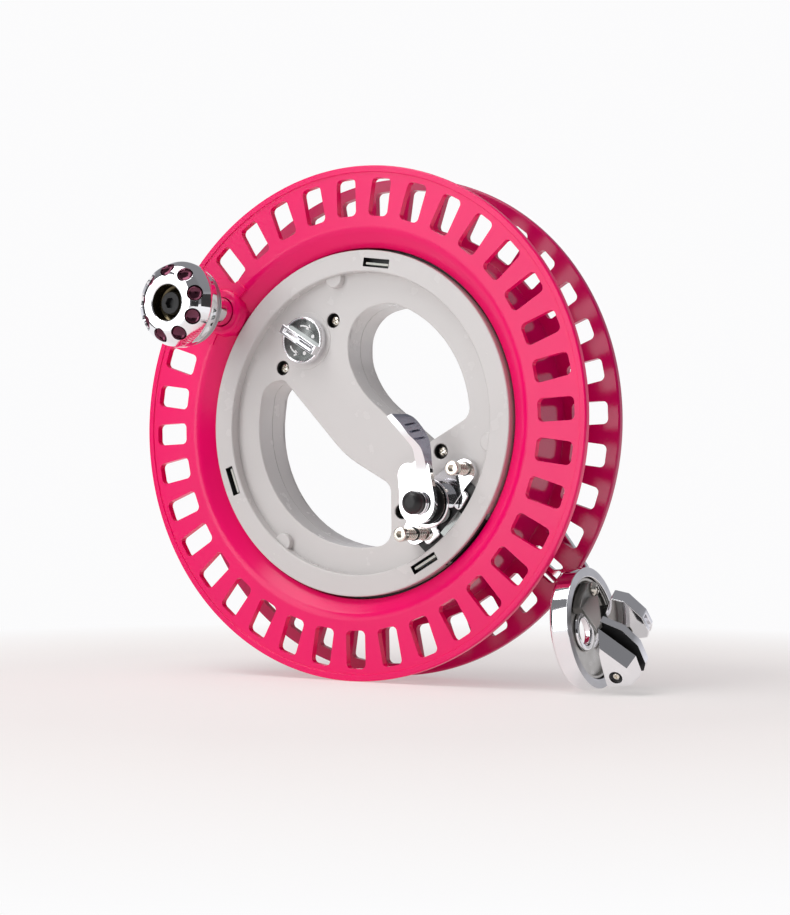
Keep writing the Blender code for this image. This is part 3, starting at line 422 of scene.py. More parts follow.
def boolean(target, other, operation):
    modifier = target.modifiers.new("boolean", "BOOLEAN")
    modifier.operation = operation
    modifier.solver = "EXACT"
    modifier.object = other
    applied(target)
    bpy.data.objects.remove(other, do_unlink=True)
    return target


def cut(target, *others):
    for other in others:
        boolean(target, other, "DIFFERENCE")
    return target


def merged(target, *others):
    """Puts other meshes into one object, without a Boolean."""
    work = bmesh.new()
    work.from_mesh(target.data)
    for other in others:
        offset = len(target.data.materials)
        for material in other.data.materials:
            target.data.materials.append(material)
        start = len(work.faces)
        work.from_mesh(other.data)
        work.faces.ensure_lookup_table()
        for face in work.faces[start:]:
            face.material_index += offset
        bpy.data.objects.remove(other, do_unlink=True)
    work.to_mesh(target.data)
    work.free()
    return target


def edged(obj, width, limit=50.0, segments=3):
    """Rounds every edge sharper than the limit."""
    bevel = obj.modifiers.new("edges", "BEVEL")
    bevel.width = width * MM
    bevel.segments = segments
    bevel.limit_method = "ANGLE"
    bevel.angle_limit = math.radians(limit)
    bevel.use_clamp_overlap = True
    bevel.harden_normals = False
    return applied(obj)


def dissolved(obj):
    reworked(obj.data, join_flat)
    return obj


def smooth(obj, degrees=38.0):
    obj.data.shade_smooth()
    obj.data.set_sharp_from_angle(angle=math.radians(degrees))
    weighted = obj.modifiers.new("weighted", "WEIGHTED_NORMAL")
    weighted.keep_sharp = True
    return obj


def finish(obj, body, slot, *nodes):
    """The piece goes to its place, rides on its body and stands for its CAD nodes."""
    smooth(obj)
    obj.location = ORIGIN
    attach(obj, body)
    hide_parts(*nodes)
    return obj


def turned_piece(node, body, slot, profile, material, segments, centre=(0.0, 0.0)):
    """A turned piece that stands for one CAD node."""
    return finish(turned(node + "_skin", profile, material, segments, centre), body, slot, node)


def paint_faces(obj, material, test):
    """Gives another material to the faces whose centre, in millimetres, passes the test."""
    obj.data.materials.append(MATERIALS[material])
    index = len(obj.data.materials) - 1
    for face in obj.data.polygons:
        if test(face.center / MM, face.normal):
            face.material_index = index
    return obj


def to_rear(obj):
    return moved(obj, Matrix.Translation((0, WHEEL_WIDTH, 0)) @ Matrix.Scale(-1, 4, (0, 1, 0)))


def plate(name, outlines, low, high, round_edge, material):
    """A flat plate with rounded edges, from a filled curve: its edge's outline first, then the holes."""
    curve = bpy.data.curves.new(name, "CURVE")
    curve.dimensions = "2D"
    curve.fill_mode = "BOTH"
    for number, outline in enumerate(outlines):
        area = sum(a[0] * b[1] - b[0] * a[1] for a, b in zip(outline, outline[1:] + outline[:1]))
        if (area > 0) != (number == 0):
            outline = outline[::-1]
        spline = curve.splines.new("POLY")
        spline.points.add(len(outline) - 1)
        for point, (x, z) in zip(spline.points, outline):
            point.co = (x * MM, z * MM, 0.0, 1.0)
        spline.use_cyclic_u = True
    curve.extrude = ((high - low) / 2 - round_edge) * MM
    curve.bevel_depth = round_edge * MM
    curve.bevel_resolution = 3
    curve.offset = -round_edge * MM
    holder = linked(name + "_curve", curve)
    bpy.context.view_layer.update()
    mesh = bpy.data.meshes.new_from_object(holder.evaluated_get(bpy.context.evaluated_depsgraph_get()))
    bpy.data.objects.remove(holder, do_unlink=True)
    mesh.transform(Matrix.Translation((0, (low + high) / 2 * MM, 0)) @ Matrix.Rotation(math.pi / 2, 4, "X"))
    reworked(mesh, weld, join_flat, face_outwards)
    mesh.materials.clear()
    mesh.materials.append(MATERIALS[material])
    return linked(name, mesh)


def circle(centre, radius, count):
    spokes = [polar(radius, 360.0 * i / count) for i in range(count)]
    return [(centre[0] + x, centre[1] + z) for x, z in spokes]


# ---- wheel


def window(angle):
    inner, outer = WINDOW_R
    half = WINDOW_WIDTH / 2
    along = Vector(polar(1.0, angle))
    across = Vector((-along.y, along.x))
    sides = ((inner, half), (outer, half), (outer, -half), (inner, -half))
    corners = [along * u + across * v for u, v in sides]
    return rounded([(c.x, c.y, WINDOW_ROUND) for c in corners], 15.0)


def window_angles(skipped):
    """The angles of the windows, less the skipped ones."""
    angles = [WINDOW_PHASE + 360.0 / WINDOWS * i for i in range(WINDOWS)]
    return [angle for angle in angles if angle not in skipped]


def flange(name, web_back, angles, material):
    """Lip, face, cone down to the bore and the web behind it, with the windows cut through."""
    body = turned(name, ring_profile((
        (107.2, FACE_Y, 0.12), (107.2, 0.0, 0.25), (FLANGE_R, 0.0, 0.8), (FLANGE_R, FLANGE_BACK, 0.8),
        (84.8, FLANGE_BACK, 2.0), (WEB_R, CONE_Y + 1.2, 1.5), (WEB_R, web_back, 0.3),
        (WHEEL_BORE_R, web_back, 0.3), (WHEEL_BORE_R, CONE_Y, 0.6), (CONE_R, FACE_Y, 6.0),
    )), material, WHEEL_SIDES)
    cutters = [prism("window", window(angle), -3.0, 8.0, material) for angle in angles]
    cut(body, merged(*cutters))
    return dissolved(edged(dissolved(body), 0.5, 60.0))


def make_front_flange():
    body = flange("front_flange_skin", BARREL_BACK, window_angles(CRANK_WINDOWS), "pink")
    boss = turned("boss", ring_profile((
        (POST_R + 0.3, BOSS_FACE, 0.3), (9.9, BOSS_FACE, 1.8), (10.9, 2.6, 0.0), (POST_R + 0.3, 2.6, 0.0),
    ), 10.0), "pink", 96, KNOB_AXIS)
    skirt = turned("skirt", axle_profile((
        (0.0, BOSS_FACE + 0.7, 0), (9.2, BOSS_FACE + 0.7, 1.0), (12.4, 12.0, 0.0), (0.0, 12.0, 0),
    )), "pink", 96, KNOB_AXIS)
    cut(skirt, rod(WHEEL_BORE_R + 0.1, -9, 20, "pink", WHEEL_SIDES))
    near, beyond = WEB_R - 0.5, FLANGE_R + 20
    cut(skirt, turned("relief", [(near, 3.0), (beyond, 3.0), (beyond, 20), (near, 20)], "pink", WHEEL_SIDES))
    cut(skirt, rod(POST_R + 0.3, -9, 1.8, "pink", 64, KNOB_AXIS))
    pad = turned("pad", axle_profile((
        (0.0, FACE_Y - 0.4, 0), (15.5, FACE_Y - 0.4, 0.3), (15.5, FACE_Y + 1.0, 0), (0.0, FACE_Y + 1.0, 0),
    )), "pink", 96, KNOB_AXIS)
    for angle in PAD_WINDOWS:
        cut(pad, prism("window", window(angle), -5, 5, "pink"))
    cut(pad, rod(9.0, -9, 9, "pink", 64, KNOB_AXIS))
    cone_gap = [(0, -9), (CONE_R, -9), (CONE_R, FACE_Y), (CONE_R - 0.5, 9), (0, 9)]
    cut(pad, turned("cone_gap", cone_gap, "pink", WHEEL_SIDES))
    merged(body, boss, skirt, pad)
    return finish(body, "wheel", "gloss", "front_flange")


def wheel_screw_places():
    step = 360.0 / WHEEL_SCREWS
    return [polar(WHEEL_SCREW_CIRCLE, WHEEL_SCREW_PHASE + step * i) for i in range(WHEEL_SCREWS)]


def make_rear_flange():
    # The rear flange and its screw cups take the darker pink: painted shade.
    body = flange("rear_flange_skin", 8.7, window_angles(()), "pink_shaded")
    for place in wheel_screw_places():
        cup = turned("cup", ring_profile((
            (2.2, -0.1, 0.2), (3.4, -0.1, 0.4), (3.4, 2.6, 0.0), (2.2, 2.6, 0.0),
        )), "pink_shaded", 32, place)
        merged(body, cup)
    to_rear(body)
    return finish(body, "wheel", "gloss", "rear_flange")


def crossed(screw, place, start, length, width, low, high):
    """Cuts a cross recess into a screw's head."""
    for angle in (start, start + 90.0):
        cut(screw, prism("cross", box_outline(place, angle, length, width), low, high, "rubber"))
    return screw


def phillips_head(name, place, radius, face, depth, shank):
    """A round-headed screw whose head faces -Y, with a cross recess."""
    head = turned(name, axle_profile((
        (0.0, face, 0), (radius * 0.62, face, radius * 0.8), (radius, face + depth * 0.45, 0.2),
        (radius, face + depth, 0.0), (radius * 0.45, face + depth, 0.0),
        (radius * 0.45, face + depth + shank, 0), (0.0, face + depth + shank, 0),
    )), "steel", 40, place)
    return crossed(head, place, 20.0, radius * 1.15, radius * 0.28, face - 1, face + depth * 0.55)


def make_wheel_screws():
    for number, place in enumerate(wheel_screw_places(), 1):
        screw = phillips_head(f"wheel_screw_head_{number}", place, 2.1, 0.7, 1.5, 5.0)
        finish(to_rear(screw), "wheel", "steel", f"wheel_screw_{number}")


def make_drum():
    end = FLANGE_BACK + 0.3
    # The drum takes the darker pink: painted shade.
    turned_piece("line_drum", "wheel", "gloss", ring_profile((
        (DRUM_R, end, 0.4), (DRUM_R, WHEEL_WIDTH - end, 0.4), (DRUM_R - 3.6, WHEEL_WIDTH - end - 2.2, 0.3),
        (DRUM_R - 3.6, end + 2.2, 0.3),
    )), "pink_shaded", WHEEL_SIDES)


# ---- crank knob


def make_knob_shell():
    front, hole = KNOB_FRONT, 7.8
    shell = turned("knob_shell_skin", ring_profile((
        (hole, front + 0.1, 0.7), (12.8, front, 3.0), (16.4, front + 2.7, 4.0), (18.75, front + 8.6, 5.5),
        (18.4, front + 12.9, 1.6), (16.0, front + 13.2, 0.5), (4.0, front + 13.2, 0.0),
        (4.0, front + 9.0, 0.0), (hole - 1.4, front + 6.9, 0.0), (hole, front + 6.3, 0.0),
    ), 8.0), "chrome", 180, KNOB_AXIS)
    floors = []
    for number in range(KNOB_DIMPLES):
        angle = 360.0 * (number + 0.5) / KNOB_DIMPLES - DIMPLE_PHASE
        x, z = polar(DIMPLE_CIRCLE, angle)
        around = Matrix.Rotation(math.radians(angle), 4, Vector((0, -1, 0)))
        lean = around @ Matrix.Rotation(math.radians(DIMPLE_LEAN), 4, "Z")
        place = Matrix.Translation((KNOB_AXIS[0] + x, front + 2.0, KNOB_AXIS[1] + z)) @ lean
        cutter = turned("dimple", [
            (0, -4.0), (3.5, -4.0), (3.5, 0.6), (3.2, 1.3), (2.4, 1.9), (1.2, 2.3), (0, 2.4),
        ], "chrome", 64)
        cut(shell, moved(cutter, place))
        floors.append(place.inverted())
    edged(shell, 0.3, 42.0)
    # The dimples' faces get the dark pink-purple metal: painted shade and a painted pink reflection.
    paint_faces(shell, "dimple", lambda at, normal: any(in_dimple(at, inverse) for inverse in floors))
    # The knob hole's wall gets the dark brown metal: painted shade.
    paint_faces(shell, "hole_shade", in_knob_hole)
    finish(shell, "knob", "knob", "knob_shell")


def make_knob_mount():
    """The collar that turns with the shell, and the post and bolt that don't."""
    front = KNOB_FRONT
    turned_piece("knob_collar", "knob", "knob", ring_profile((
        (4.0, front + 13.5, 0.0), (16.4, front + 13.5, 0.4), (17.3, front + 14.0, 0.4),
        (17.3, front + 15.2, 0.2), (16.9, front + 15.3, 0.1), (16.9, front + 15.6, 0.1),
        (17.3, front + 15.7, 0.2), (17.3, front + 16.5, 0.7), (15.0, KNOB_BACK, 0.6), (4.0, KNOB_BACK, 0.0),
    )), "turned", 180, KNOB_AXIS)
    turned_piece("knob_post", "wheel", "chrome", axle_profile((
        (0.0, front + 6.5, 0), (3.6, front + 6.5, 0.2), (3.6, KNOB_BACK + 0.4, 0.0),
        (POST_R, KNOB_BACK + 0.4, 0.6), (POST_R, 1.7, 0.2), (0.0, 1.7, 0),
    )), "chrome", 96, KNOB_AXIS)
    # The bolt at the bottom of the knob's hole is black: painted shade in the hole.
    bolt = turned("knob_bolt_skin", axle_profile((
        (0.0, front + 2.6, 0), (4.9, front + 2.6, 0.5), (4.9, front + 6.2, 0.1), (0.0, front + 6.2, 0),
    )), "rubber", 64, KNOB_AXIS)
    cut(bolt, rod(2.5, front, front + 4.8, "rubber", 6, KNOB_AXIS))
    finish(bolt, "wheel", "steel", "knob_bolt")


def in_dimple(at, inverse):
    """True inside the dimple whose inverse placement is given."""
    local = inverse @ at
    return math.hypot(local.x, local.z) < 3.45 and -3.6 < local.y < 2.5


def in_knob_hole(at, normal):
    return math.hypot(at.x - KNOB_AXIS[0], at.z - KNOB_AXIS[1]) < 7.9 and at.y > KNOB_FRONT + 0.75


# ---- hub


def upper_opening():
    return rounded((
        (49.8, 37.6, OPENING_R), (53.7, 1.6, 6.0), (30.7, -10.9, 5.0), (-0.85, 14.5, 40.0),
        (-6.3, 28.0, 20.0), (-6.3, 47.9, 16.0), (14.9, 51.7, 19.0),
    ))


def lower_opening():
    return rounded((
        (-62.5, -60.4, OPENING_R), (-51.2, 19.3, 9.0), (-40.2, 20.7, 4.5), (-7.6, -13.9, 45.0),
        (15.3, -26.6, 6.0), (15.6, -52.1, 7.0),
    ))


def hub_floor(name, holes):
    outlines = [circle((0, 0), PLATE_R, WHEEL_SIDES), upper_opening(), lower_opening(), *holes]
    return plate(name, outlines, FLOOR_Y, PLATE_BACK, 0.5, "grey")


def rim():
    """The flat rim, the barrel behind it and the seat of the inner race."""
    return turned("rim", ring_profile((
        (RECESS_R, FLOOR_Y + 1.0, 0.0), (RECESS_R, RIM_FACE_Y, 0.7), (RIM_R, RIM_FACE_Y, 0.6),
        (RIM_R, RIM_BACK_Y, 0.3), (BARREL_R, RIM_BACK_Y, 0.0), (BARREL_R, BARREL_BACK, 0.0),
        (SEAT_R, BARREL_BACK, 0.0), (SEAT_R, WALL_BACK, 0.0), (SEAT_R - 2.2, WALL_BACK, 0.0),
        (SEAT_R - 2.2, FLOOR_Y + 1.0, 0.0),
    )), "grey", WHEEL_SIDES)


def opening_walls():
    return [wall("wall", outline, FLOOR_Y + 0.2, WALL_BACK) for outline in (upper_opening(), lower_opening())]


def in_shaded_rim_slot(at, normal):
    """True for the faces inside the rim's three slots, which are painted black: painted shade."""
    radius, angle = math.hypot(at.x, at.z), math.degrees(math.atan2(at.z, at.x)) % 360
    inside = 66.8 < radius < 71.1 and RIM_FACE_Y + 0.3 < at.y < RIM_FACE_Y + 4.3
    return inside and any(abs(angle - middle) < 6.5 for middle in SLOT_ANGLES)


def radial_box(name, radius, angle, length, width, low, high, material):
    """A box at a place on the rim, with its length along the radius."""
    return prism(name, box_outline(polar(radius, angle), angle, length, width), low, high, material)


def front_rim():
    """The rim with its three slots and the gap that the brake shoe works through."""
    edge = rim()
    for angle in SLOT_ANGLES:
        cut(edge, radial_box("slot", 68.8, angle, 3.8, 13.0, RIM_FACE_Y - 1, RIM_FACE_Y + 4.0, "rubber"))
    gap = (RIM_FACE_Y + 1.7, FLOOR_Y - 0.05)
    cut(edge, radial_box("shoe_slot", 70.0, BRAKE_ANGLE, 20.0, 29.0, *gap, "grey"))
    edged(edge, 0.25, 55.0, 2)
    # The slots' insides are painted black: painted shade.
    return paint_faces(edge, "rubber", in_shaded_rim_slot)


def make_front_hub():
    selector = polar(SELECTOR_RADIUS, SELECTOR_ANGLE)
    holes = [circle(p, 3.2, 48) for p in GRIP_SCREWS] + [circle(p, 1.9, 24) for p in EARS]
    holes += [circle(selector, 4.2, 32), circle(BRAKE_AXIS, 3.5, 32)]
    floor = hub_floor("hub_front_skin", holes)
    walls = opening_walls()
    edge = front_rim()
    # A pale bar in each slot: a painted highlight.
    glint_bars = []
    for angle in SLOT_ANGLES:
        bar = radial_box("slot_glint_bar", 68.4, angle, 1.1, 11.4, RIM_FACE_Y + 1.0, RIM_FACE_Y + 4.2, "nylon")
        glint_bars.append(edged(bar, 0.2))
    # Black tubes under the grip screws' holes, so that the holes look dark: painted shade.
    shaded_wells = [turned("well", ring_profile((
        (3.15, FLOOR_Y + 0.4, 0.0), (4.4, FLOOR_Y + 0.4, 0.0), (4.4, FLOOR_Y + 5.0, 0.0),
        (3.15, FLOOR_Y + 5.0, 0.0),
    )), "rubber", 40, place) for place in GRIP_SCREWS]
    bumps = [turned("bump", axle_profile((
        (0.0, RIM_FACE_Y + 1.9, 0), (4.0, RIM_FACE_Y + 1.9, 0.5), (4.0, FLOOR_Y + 1.0, 0),
        (0.0, FLOOR_Y + 1.0, 0),
    )), "grey", 48, polar(RECESS_R - 0.6, angle)) for angle in BUMP_ANGLES]
    rings = [circle(selector, 12.6, 64), circle(selector, 4.2, 32)]
    seat = plate("seat", rings, FLOOR_Y - 0.25, FLOOR_Y + 0.4, 0.2, "grey")
    merged(floor, edge, seat, *walls, *shaded_wells, *bumps, *glint_bars)
    return finish(floor, "handle", "grey", "hub_front_shell")


def grown(outline, amount):
    """The outline moved outwards by an amount."""
    ends = list(zip(outline, outline[1:] + outline[:1]))
    turn = math.copysign(1.0, sum(a[0] * b[1] - b[0] * a[1] for a, b in ends))
    result = []
    for i, point in enumerate(outline):
        along = (Vector(outline[(i + 1) % len(outline)]) - Vector(outline[i - 1])).normalized()
        result.append(tuple(Vector(point) + Vector((along.y, -along.x)) * turn * amount))
    return result


def wall(name, outline, low, high):
    """The wall around an opening, 2 mm thick."""
    return plate(name, [grown(outline, 2.0), outline], low, high, 0.12, "grey")


def make_rear_hub():
    floor = hub_floor("hub_rear_skin", [])
    walls = opening_walls()
    edge = rim()
    cut(edge, radial_box("pawl_window", 70.0, SELECTOR_ANGLE, 20.0, 44.0, RIM_BACK_Y + 0.2, 12.9, "grey"))
    merged(floor, edge, *walls)
    to_rear(floor)
    return finish(floor, "handle", "grey", "hub_rear_shell")


def make_grip_screws():
    for number, place in enumerate(GRIP_SCREWS, 1):
        screw = phillips_head(f"grip_screw_head_{number}", place, 2.7, FLOOR_Y + 1.6, 2.0, 12.0)
        finish(screw, "handle", "steel", f"grip_screw_{number}")


def make_dust_seal():
    turned_piece("dust_seal", "handle", "rubber", ring_profile((
        (BARREL_R + 0.4, RIM_BACK_Y + 0.3, 0.0), (WHEEL_BORE_R - 0.3, RIM_BACK_Y + 0.3, 0.2),
        (WHEEL_BORE_R - 0.3, RIM_BACK_Y + 1.4, 0.2), (BARREL_R + 0.4, RIM_BACK_Y + 1.4, 0.0),
    )), "rubber", 256)


# ---- selector


def ribbon(name, centre, radius, first, last, width, low, high, material):
    """A flat band along an arc, given by two angles."""
    steps = 16
    angles = [first + (last - first) * i / steps for i in range(steps + 1)]
    outline = [polar(radius + width / 2, a) for a in angles]
    outline += [polar(radius - width / 2, a) for a in reversed(angles)]
    return prism(name, [(centre[0] + x, centre[1] + z) for x, z in outline], low, high, material)


def make_selector():
    centre = Vector(polar(SELECTOR_RADIUS, SELECTOR_ANGLE))
    top = SELECTOR_TOP
    knob = turned("selector_skin", axle_profile((
        (0.0, top + 0.35, 0), (9.3, top + 0.35, 0.2), (9.6, top, 0.25), (10.1, top, 0.3),
        (10.5, top + 1.0, 0.4), (10.5, FLOOR_Y - 0.35, 0.2), (4.0, FLOOR_Y - 0.35, 0.0), (4.0, 19.5, 0.0),
        (0.0, 19.5, 0),
    )), "chrome", 128, tuple(centre))
    bar = prism("bar", box_outline(centre, SELECTOR_BAR_ANGLE, 20.4, 4.2), top - 3.3, top + 1.0, "chrome")
    groove_outline = box_outline(centre, SELECTOR_BAR_ANGLE, 16.6, 1.7)
    cut(bar, prism("groove", groove_outline, top - 4.5, top - 2.2, "chrome"))
    edged(bar, 0.3, 50.0)
    merged(knob, bar)
    paint_faces(knob, "smoked", lambda at, normal: normal.y < -0.9 and top + 0.3 < at.y < top + 0.4)
    finish(knob, "selector", "chrome", "selector_knob")


def make_selector_marks():
    """An arrow and a dot on each side of the raised bar."""
    centre = Vector(polar(SELECTOR_RADIUS, SELECTOR_ANGLE))
    low, high = SELECTOR_TOP + 0.22, SELECTOR_TOP + 0.6
    for side, name in ((1, "selector_mark_upper"), (-1, "selector_mark_lower")):
        lean = SELECTOR_BAR_ANGLE + side * 90.0
        first, last = lean + side * 38.0, lean - side * 14.0
        sweep = ribbon(name, centre, 6.3, first, last, 0.62, low, high, "paint")
        tip = centre + Vector(polar(6.3, last))
        heading = last - side * 90.0
        strokes = []
        for turn in (150.0, 210.0):
            middle = tip + Vector(polar(1.0, heading + turn))
            outline = box_outline(middle, heading + turn, 2.4, 0.6)
            strokes.append(prism("stroke", outline, low, high, "paint"))
        dot = rod(0.85, low, high, "paint", 24, tuple(centre + Vector(polar(6.0, last - side * 32.0))))
        merged(sweep, dot, *strokes)
        finish(sweep, "selector", "chrome")


# ---- brake


def make_brake_bracket():
    (ax, az), (bx, bz) = EARS
    cx, cz = BRAKE_AXIS
    base = prism("brake_bracket_skin", rounded((
        (ax + 1.6, az + 5.4, 4.4), (ax - 6.0, az + 2.0, 3.0), (cx - 6.5, cz + 6.0, 6.0),
        (cx - 9.5, cz - 4.0, 4.0), (bx - 5.2, bz + 2.0, 4.4), (bx - 1.5, bz - 5.6, 4.4),
        (bx + 6.6, bz - 2.0, 3.0), (cx + 6.0, cz - 7.0, 5.0), (ax + 0.5, az - 7.5, 2.0),
        (ax + 5.6, az - 2.0, 4.4),
    ), 8.0), 4.6, 6.6, "chrome")
    cut(base, rod(HOUSING_BORE_R, 0, 20, "chrome", 96, BRAKE_AXIS))
    for place in EARS:
        cut(base, rod(3.0, 0, 20, "chrome", 48, place))
    edged(base, 0.5, 50.0)
    # A black sheet between the bracket and the hub's floor, reaching out to the recess wall: painted shade
    # around the bracket.
    arc = [polar(RECESS_R - 0.6, BRAKE_ANGLE - 16.0 + 2.0 * i) for i in range(17)]
    chord = [(ax - 5.0, az + 1.0), (cx - 6.0, cz + 2.0), (bx - 4.6, bz + 1.0)]
    shadow_sheet = prism("brake_shadow_sheet", arc + chord, 6.8, FLOOR_Y - 0.35, "rubber")
    cut(shadow_sheet, rod(HOUSING_BORE_R, 0, 20, "chrome", 96, BRAKE_AXIS))
    edged(shadow_sheet, 0.2, 50.0)
    finish(shadow_sheet, "handle", "rubber")
    for side in (-1, 1):
        angle = BRAKE_ANGLE + side * 9.6
        corners = box_outline(polar(60.9, angle), angle + 90.0, 8.6, 4.2)
        tab = prism("tab", rounded([(x, z, 1.9) for x, z in corners], 10.0), 4.9, 6.7, "chrome")
        merged(base, edged(tab, 0.8, 40.0))
    housing = turned("housing", ring_profile((
        (8.8, 0.25, 0.3), (10.6, 0.25, 0.6), (10.7, 7.3, 0.0), (8.8, 7.3, 0.0),
    )), "chrome", 96, BRAKE_AXIS)
    merged(base, housing)
    finish(base, "handle", "chrome", "brake_bracket")
    turned_piece("brake_bush", "handle", "rubber", ring_profile((
        (3.6, 1.4, 0.5), (5.4, 1.4, 0.3), (5.8, 2.2, 0.2), (7.0, 2.2, 0.3), (8.4, 1.5, 0.4), (8.4, 7.6, 0.0),
        (3.6, 7.6, 0.0),
    )), "rubber", 96, BRAKE_AXIS)


def coil(name, centre, radius, wire, low, high, turns):
    """A spring wound around Y, with closed wire ends."""
    per_turn, sides = 32, 12
    steps = turns * per_turn
    points, faces = [], []
    for i in range(steps + 1):
        angle = TAU * i / per_turn
        y = low + (high - low) * i / steps
        middle = Vector((centre[0], y, centre[1]))
        outward = Vector((math.cos(angle), 0, math.sin(angle)))
        for k in range(sides):
            around = TAU * k / sides
            lift = Vector((0, math.sin(around) * wire, 0))
            points.append(middle + outward * (radius + wire * math.cos(around)) + lift)
    for i in range(steps):
        for k in range(sides):
            a, b = i * sides + k, i * sides + (k + 1) % sides
            faces.append((a, b, b + sides, a + sides))
    faces.append(tuple(range(sides)))
    faces.append(tuple(range(steps * sides, (steps + 1) * sides)))
    return raw_object(name, points, faces, "steel")


def make_ear_screws():
    for number, place in enumerate(EARS, 1):
        screw = turned(f"ear_screw_skin_{number}", axle_profile((
            (0.0, -7.0, 0), (3.05, -7.0, 0.5), (3.05, -3.8, 0.25), (1.5, -3.8, 0.0), (1.5, 12.9, 0.2),
            (0.0, 12.9, 0),
        )), "steel", 48, place)
        cut(screw, rod(1.65, -8, -4.9, "rubber", 6, place))
        finish(screw, "handle", "steel", f"ear_screw_{number}")
        spring = coil(f"ear_spring_skin_{number}", place, 2.25, 0.4, -3.2, 3.9, 5)
        finish(spring, "handle", "steel", f"ear_spring_{number}")


# Stations up the blade, each measured from the brake's axis: left edge x and z, right edge in front, right
# edge at the back, and how far the station reaches forward
BLADE = (
    (-0.4, 13.0, 4.8, 12.6, 6.2, 12.2, -7.35), (-0.15, 15.8, 4.65, 15.8, 5.9, 15.6, -8.0),
    (0.35, 21.7, 4.45, 21.7, 5.3, 22.6, -11.0), (-0.9, 24.9, 2.9, 24.9, 4.5, 26.0, -13.0),
    (-2.6, 27.5, 0.7, 27.5, 2.9, 29.0, -14.5), (-5.4, 30.9, -1.9, 31.0, 0.6, 32.0, -15.2),
    (-8.2, 34.0, -4.7, 34.0, -2.6, 35.2, -15.4), (-9.4, 35.5, -7.2, 36.4, -6.0, 36.9, -15.4),
)
BLADE_BACK = -4.8
# The least turn towards +X of a blade face that takes the painted shade
SHADED_SIDE_FACING = 0.45


def spline(stations, steps):
    """Catmull-Rom through the stations."""
    padded = [stations[0], *stations, stations[-1]]
    result = []
    for i in range(1, len(padded) - 2):
        a, b, c, d = (Vector(padded[i + k]) for k in (-1, 0, 1, 2))
        for j in range(steps):
            t = j / steps
            bend = (2 * a - 5 * b + 4 * c - d) * t * t
            twist = (3 * b - a - 3 * c + d) * t ** 3
            result.append(0.5 * (2 * b + (c - a) * t + bend + twist))
    return result + [Vector(stations[-1])]


def thumb_blade(cx, cz):
    """The blade, which leans out towards the thumb as it rises, with three grooves across it."""
    points, faces = [], []
    rows = spline(BLADE, 6)
    for left_x, left_z, front_x, front_z, back_x, back_z, reach in rows:
        points.append((cx + left_x, reach, cz + left_z))
        points.append((cx + front_x, reach, cz + front_z))
        points.append((cx + back_x, BLADE_BACK, cz + back_z))
        points.append((cx + left_x, BLADE_BACK, cz + left_z))
    for row in range(len(rows) - 1):
        for k in range(4):
            a, b = row * 4 + k, row * 4 + (k + 1) % 4
            faces.append((a, b, b + 4, a + 4))
    last = len(points) - 4
    faces += [(0, 1, 2, 3), (last, last + 1, last + 2, last + 3)]
    blade = raw_object("thumb_blade", points, faces, "satin")
    for step in range(3):
        at = (cx + 3.4 - 2.3 * step, cz + 26.7 + 2.9 * step)
        groove = prism("groove", box_outline(at, 38.0 + 4.0 * step, 2.8, 1.0), -13.4, -6.2, "rubber")
        cut(blade, groove)
    edged(blade, 0.4, 42.0)
    # Faces turned towards +X get the darker, bluer plate colour: painted shade.
    side = len(blade.data.materials)
    blade.data.materials.append(MATERIALS["side"])
    for face in blade.data.polygons:
        if face.material_index == 0 and face.normal.x > SHADED_SIDE_FACING:
            face.material_index = side
    return blade


def make_brake_lever():
    cx, cz = BRAKE_AXIS
    lever = prism("brake_lever_skin", rounded((
        (cx + 8.2, cz - 8.6, 8.2), (cx + 8.4, cz + 2.0, 9.0), (cx + 5.4, cz + 17.2, 3.0),
        (cx - 1.0, cz + 17.2, 0.6), (cx - 1.6, cz + 15.4, 1.5), (cx - 4.0, cz + 17.0, 4.0),
        (cx - 9.2, cz + 14.4, 5.0), (cx - 8.2, cz + 4.0, 5.0), (cx - 8.4, cz - 8.6, 8.2),
    ), 6.0), -7.4, -4.7, "chrome")
    cut(lever, rod(3.5, -20, 0, "chrome", 48, BRAKE_AXIS))
    edged(lever, 0.4, 50.0)
    merged(lever, thumb_blade(cx, cz))
    finish(lever, "brake_lever", "chrome", "brake_lever")
    turned_piece("brake_spindle", "brake_lever", "steel", axle_profile((
        (0.0, -9.0, 0), (2.6, -9.0, 0.2), (2.6, -4.0, 0.0), (3.1, -4.0, 0.2), (3.1, 13.9, 0.3),
        (0.0, 13.9, 0),
    )), "steel", 64, BRAKE_AXIS)
    turned_piece("spindle_ring", "brake_lever", "chrome", ring_profile((
        (2.9, -8.6, 0.2), (5.4, -8.6, 0.35), (5.4, -7.7, 0.35), (2.9, -7.7, 0.2),
    )), "chrome", 64, BRAKE_AXIS)
    turned_piece("spindle_cap", "brake_lever", "rubber", axle_profile((
        (0.0, -13.4, 0), (3.2, -13.4, 2.6), (4.8, -11.2, 1.6), (4.8, -8.9, 0.2), (2.9, -8.9, 0.0),
        (2.9, -9.2, 0.0), (0.0, -9.2, 0),
    ), 8.0), "rubber", 64, BRAKE_AXIS)


# ---- line guide


def guide_matrix():
    return Matrix.Translation(GUIDE_CENTRE) @ Matrix.Rotation(-math.radians(GUIDE_TILT), 4, "Y")


def rotor_matrix():
    return guide_matrix() @ Matrix.Rotation(math.radians(ROTOR_TURN), 4, "X")


def axis_matrix():
    """Turns a piece made around Y onto the guide's axis."""
    return guide_matrix() @ Matrix.Rotation(-math.radians(90), 4, "Z")


def axis_turned(name, profile, material, segments, centre=(0.0, 0.0)):
    return moved(turned(name, profile, material, segments, (-centre[0], centre[1])), axis_matrix())


def axis_prism(name, outline, low, high, material):
    return moved(prism(name, [(-across, up) for across, up in outline], low, high, material), axis_matrix())


def rotor_prism(name, outline, low, high):
    return moved(prism(name, outline, low, high, "chrome"), rotor_matrix())


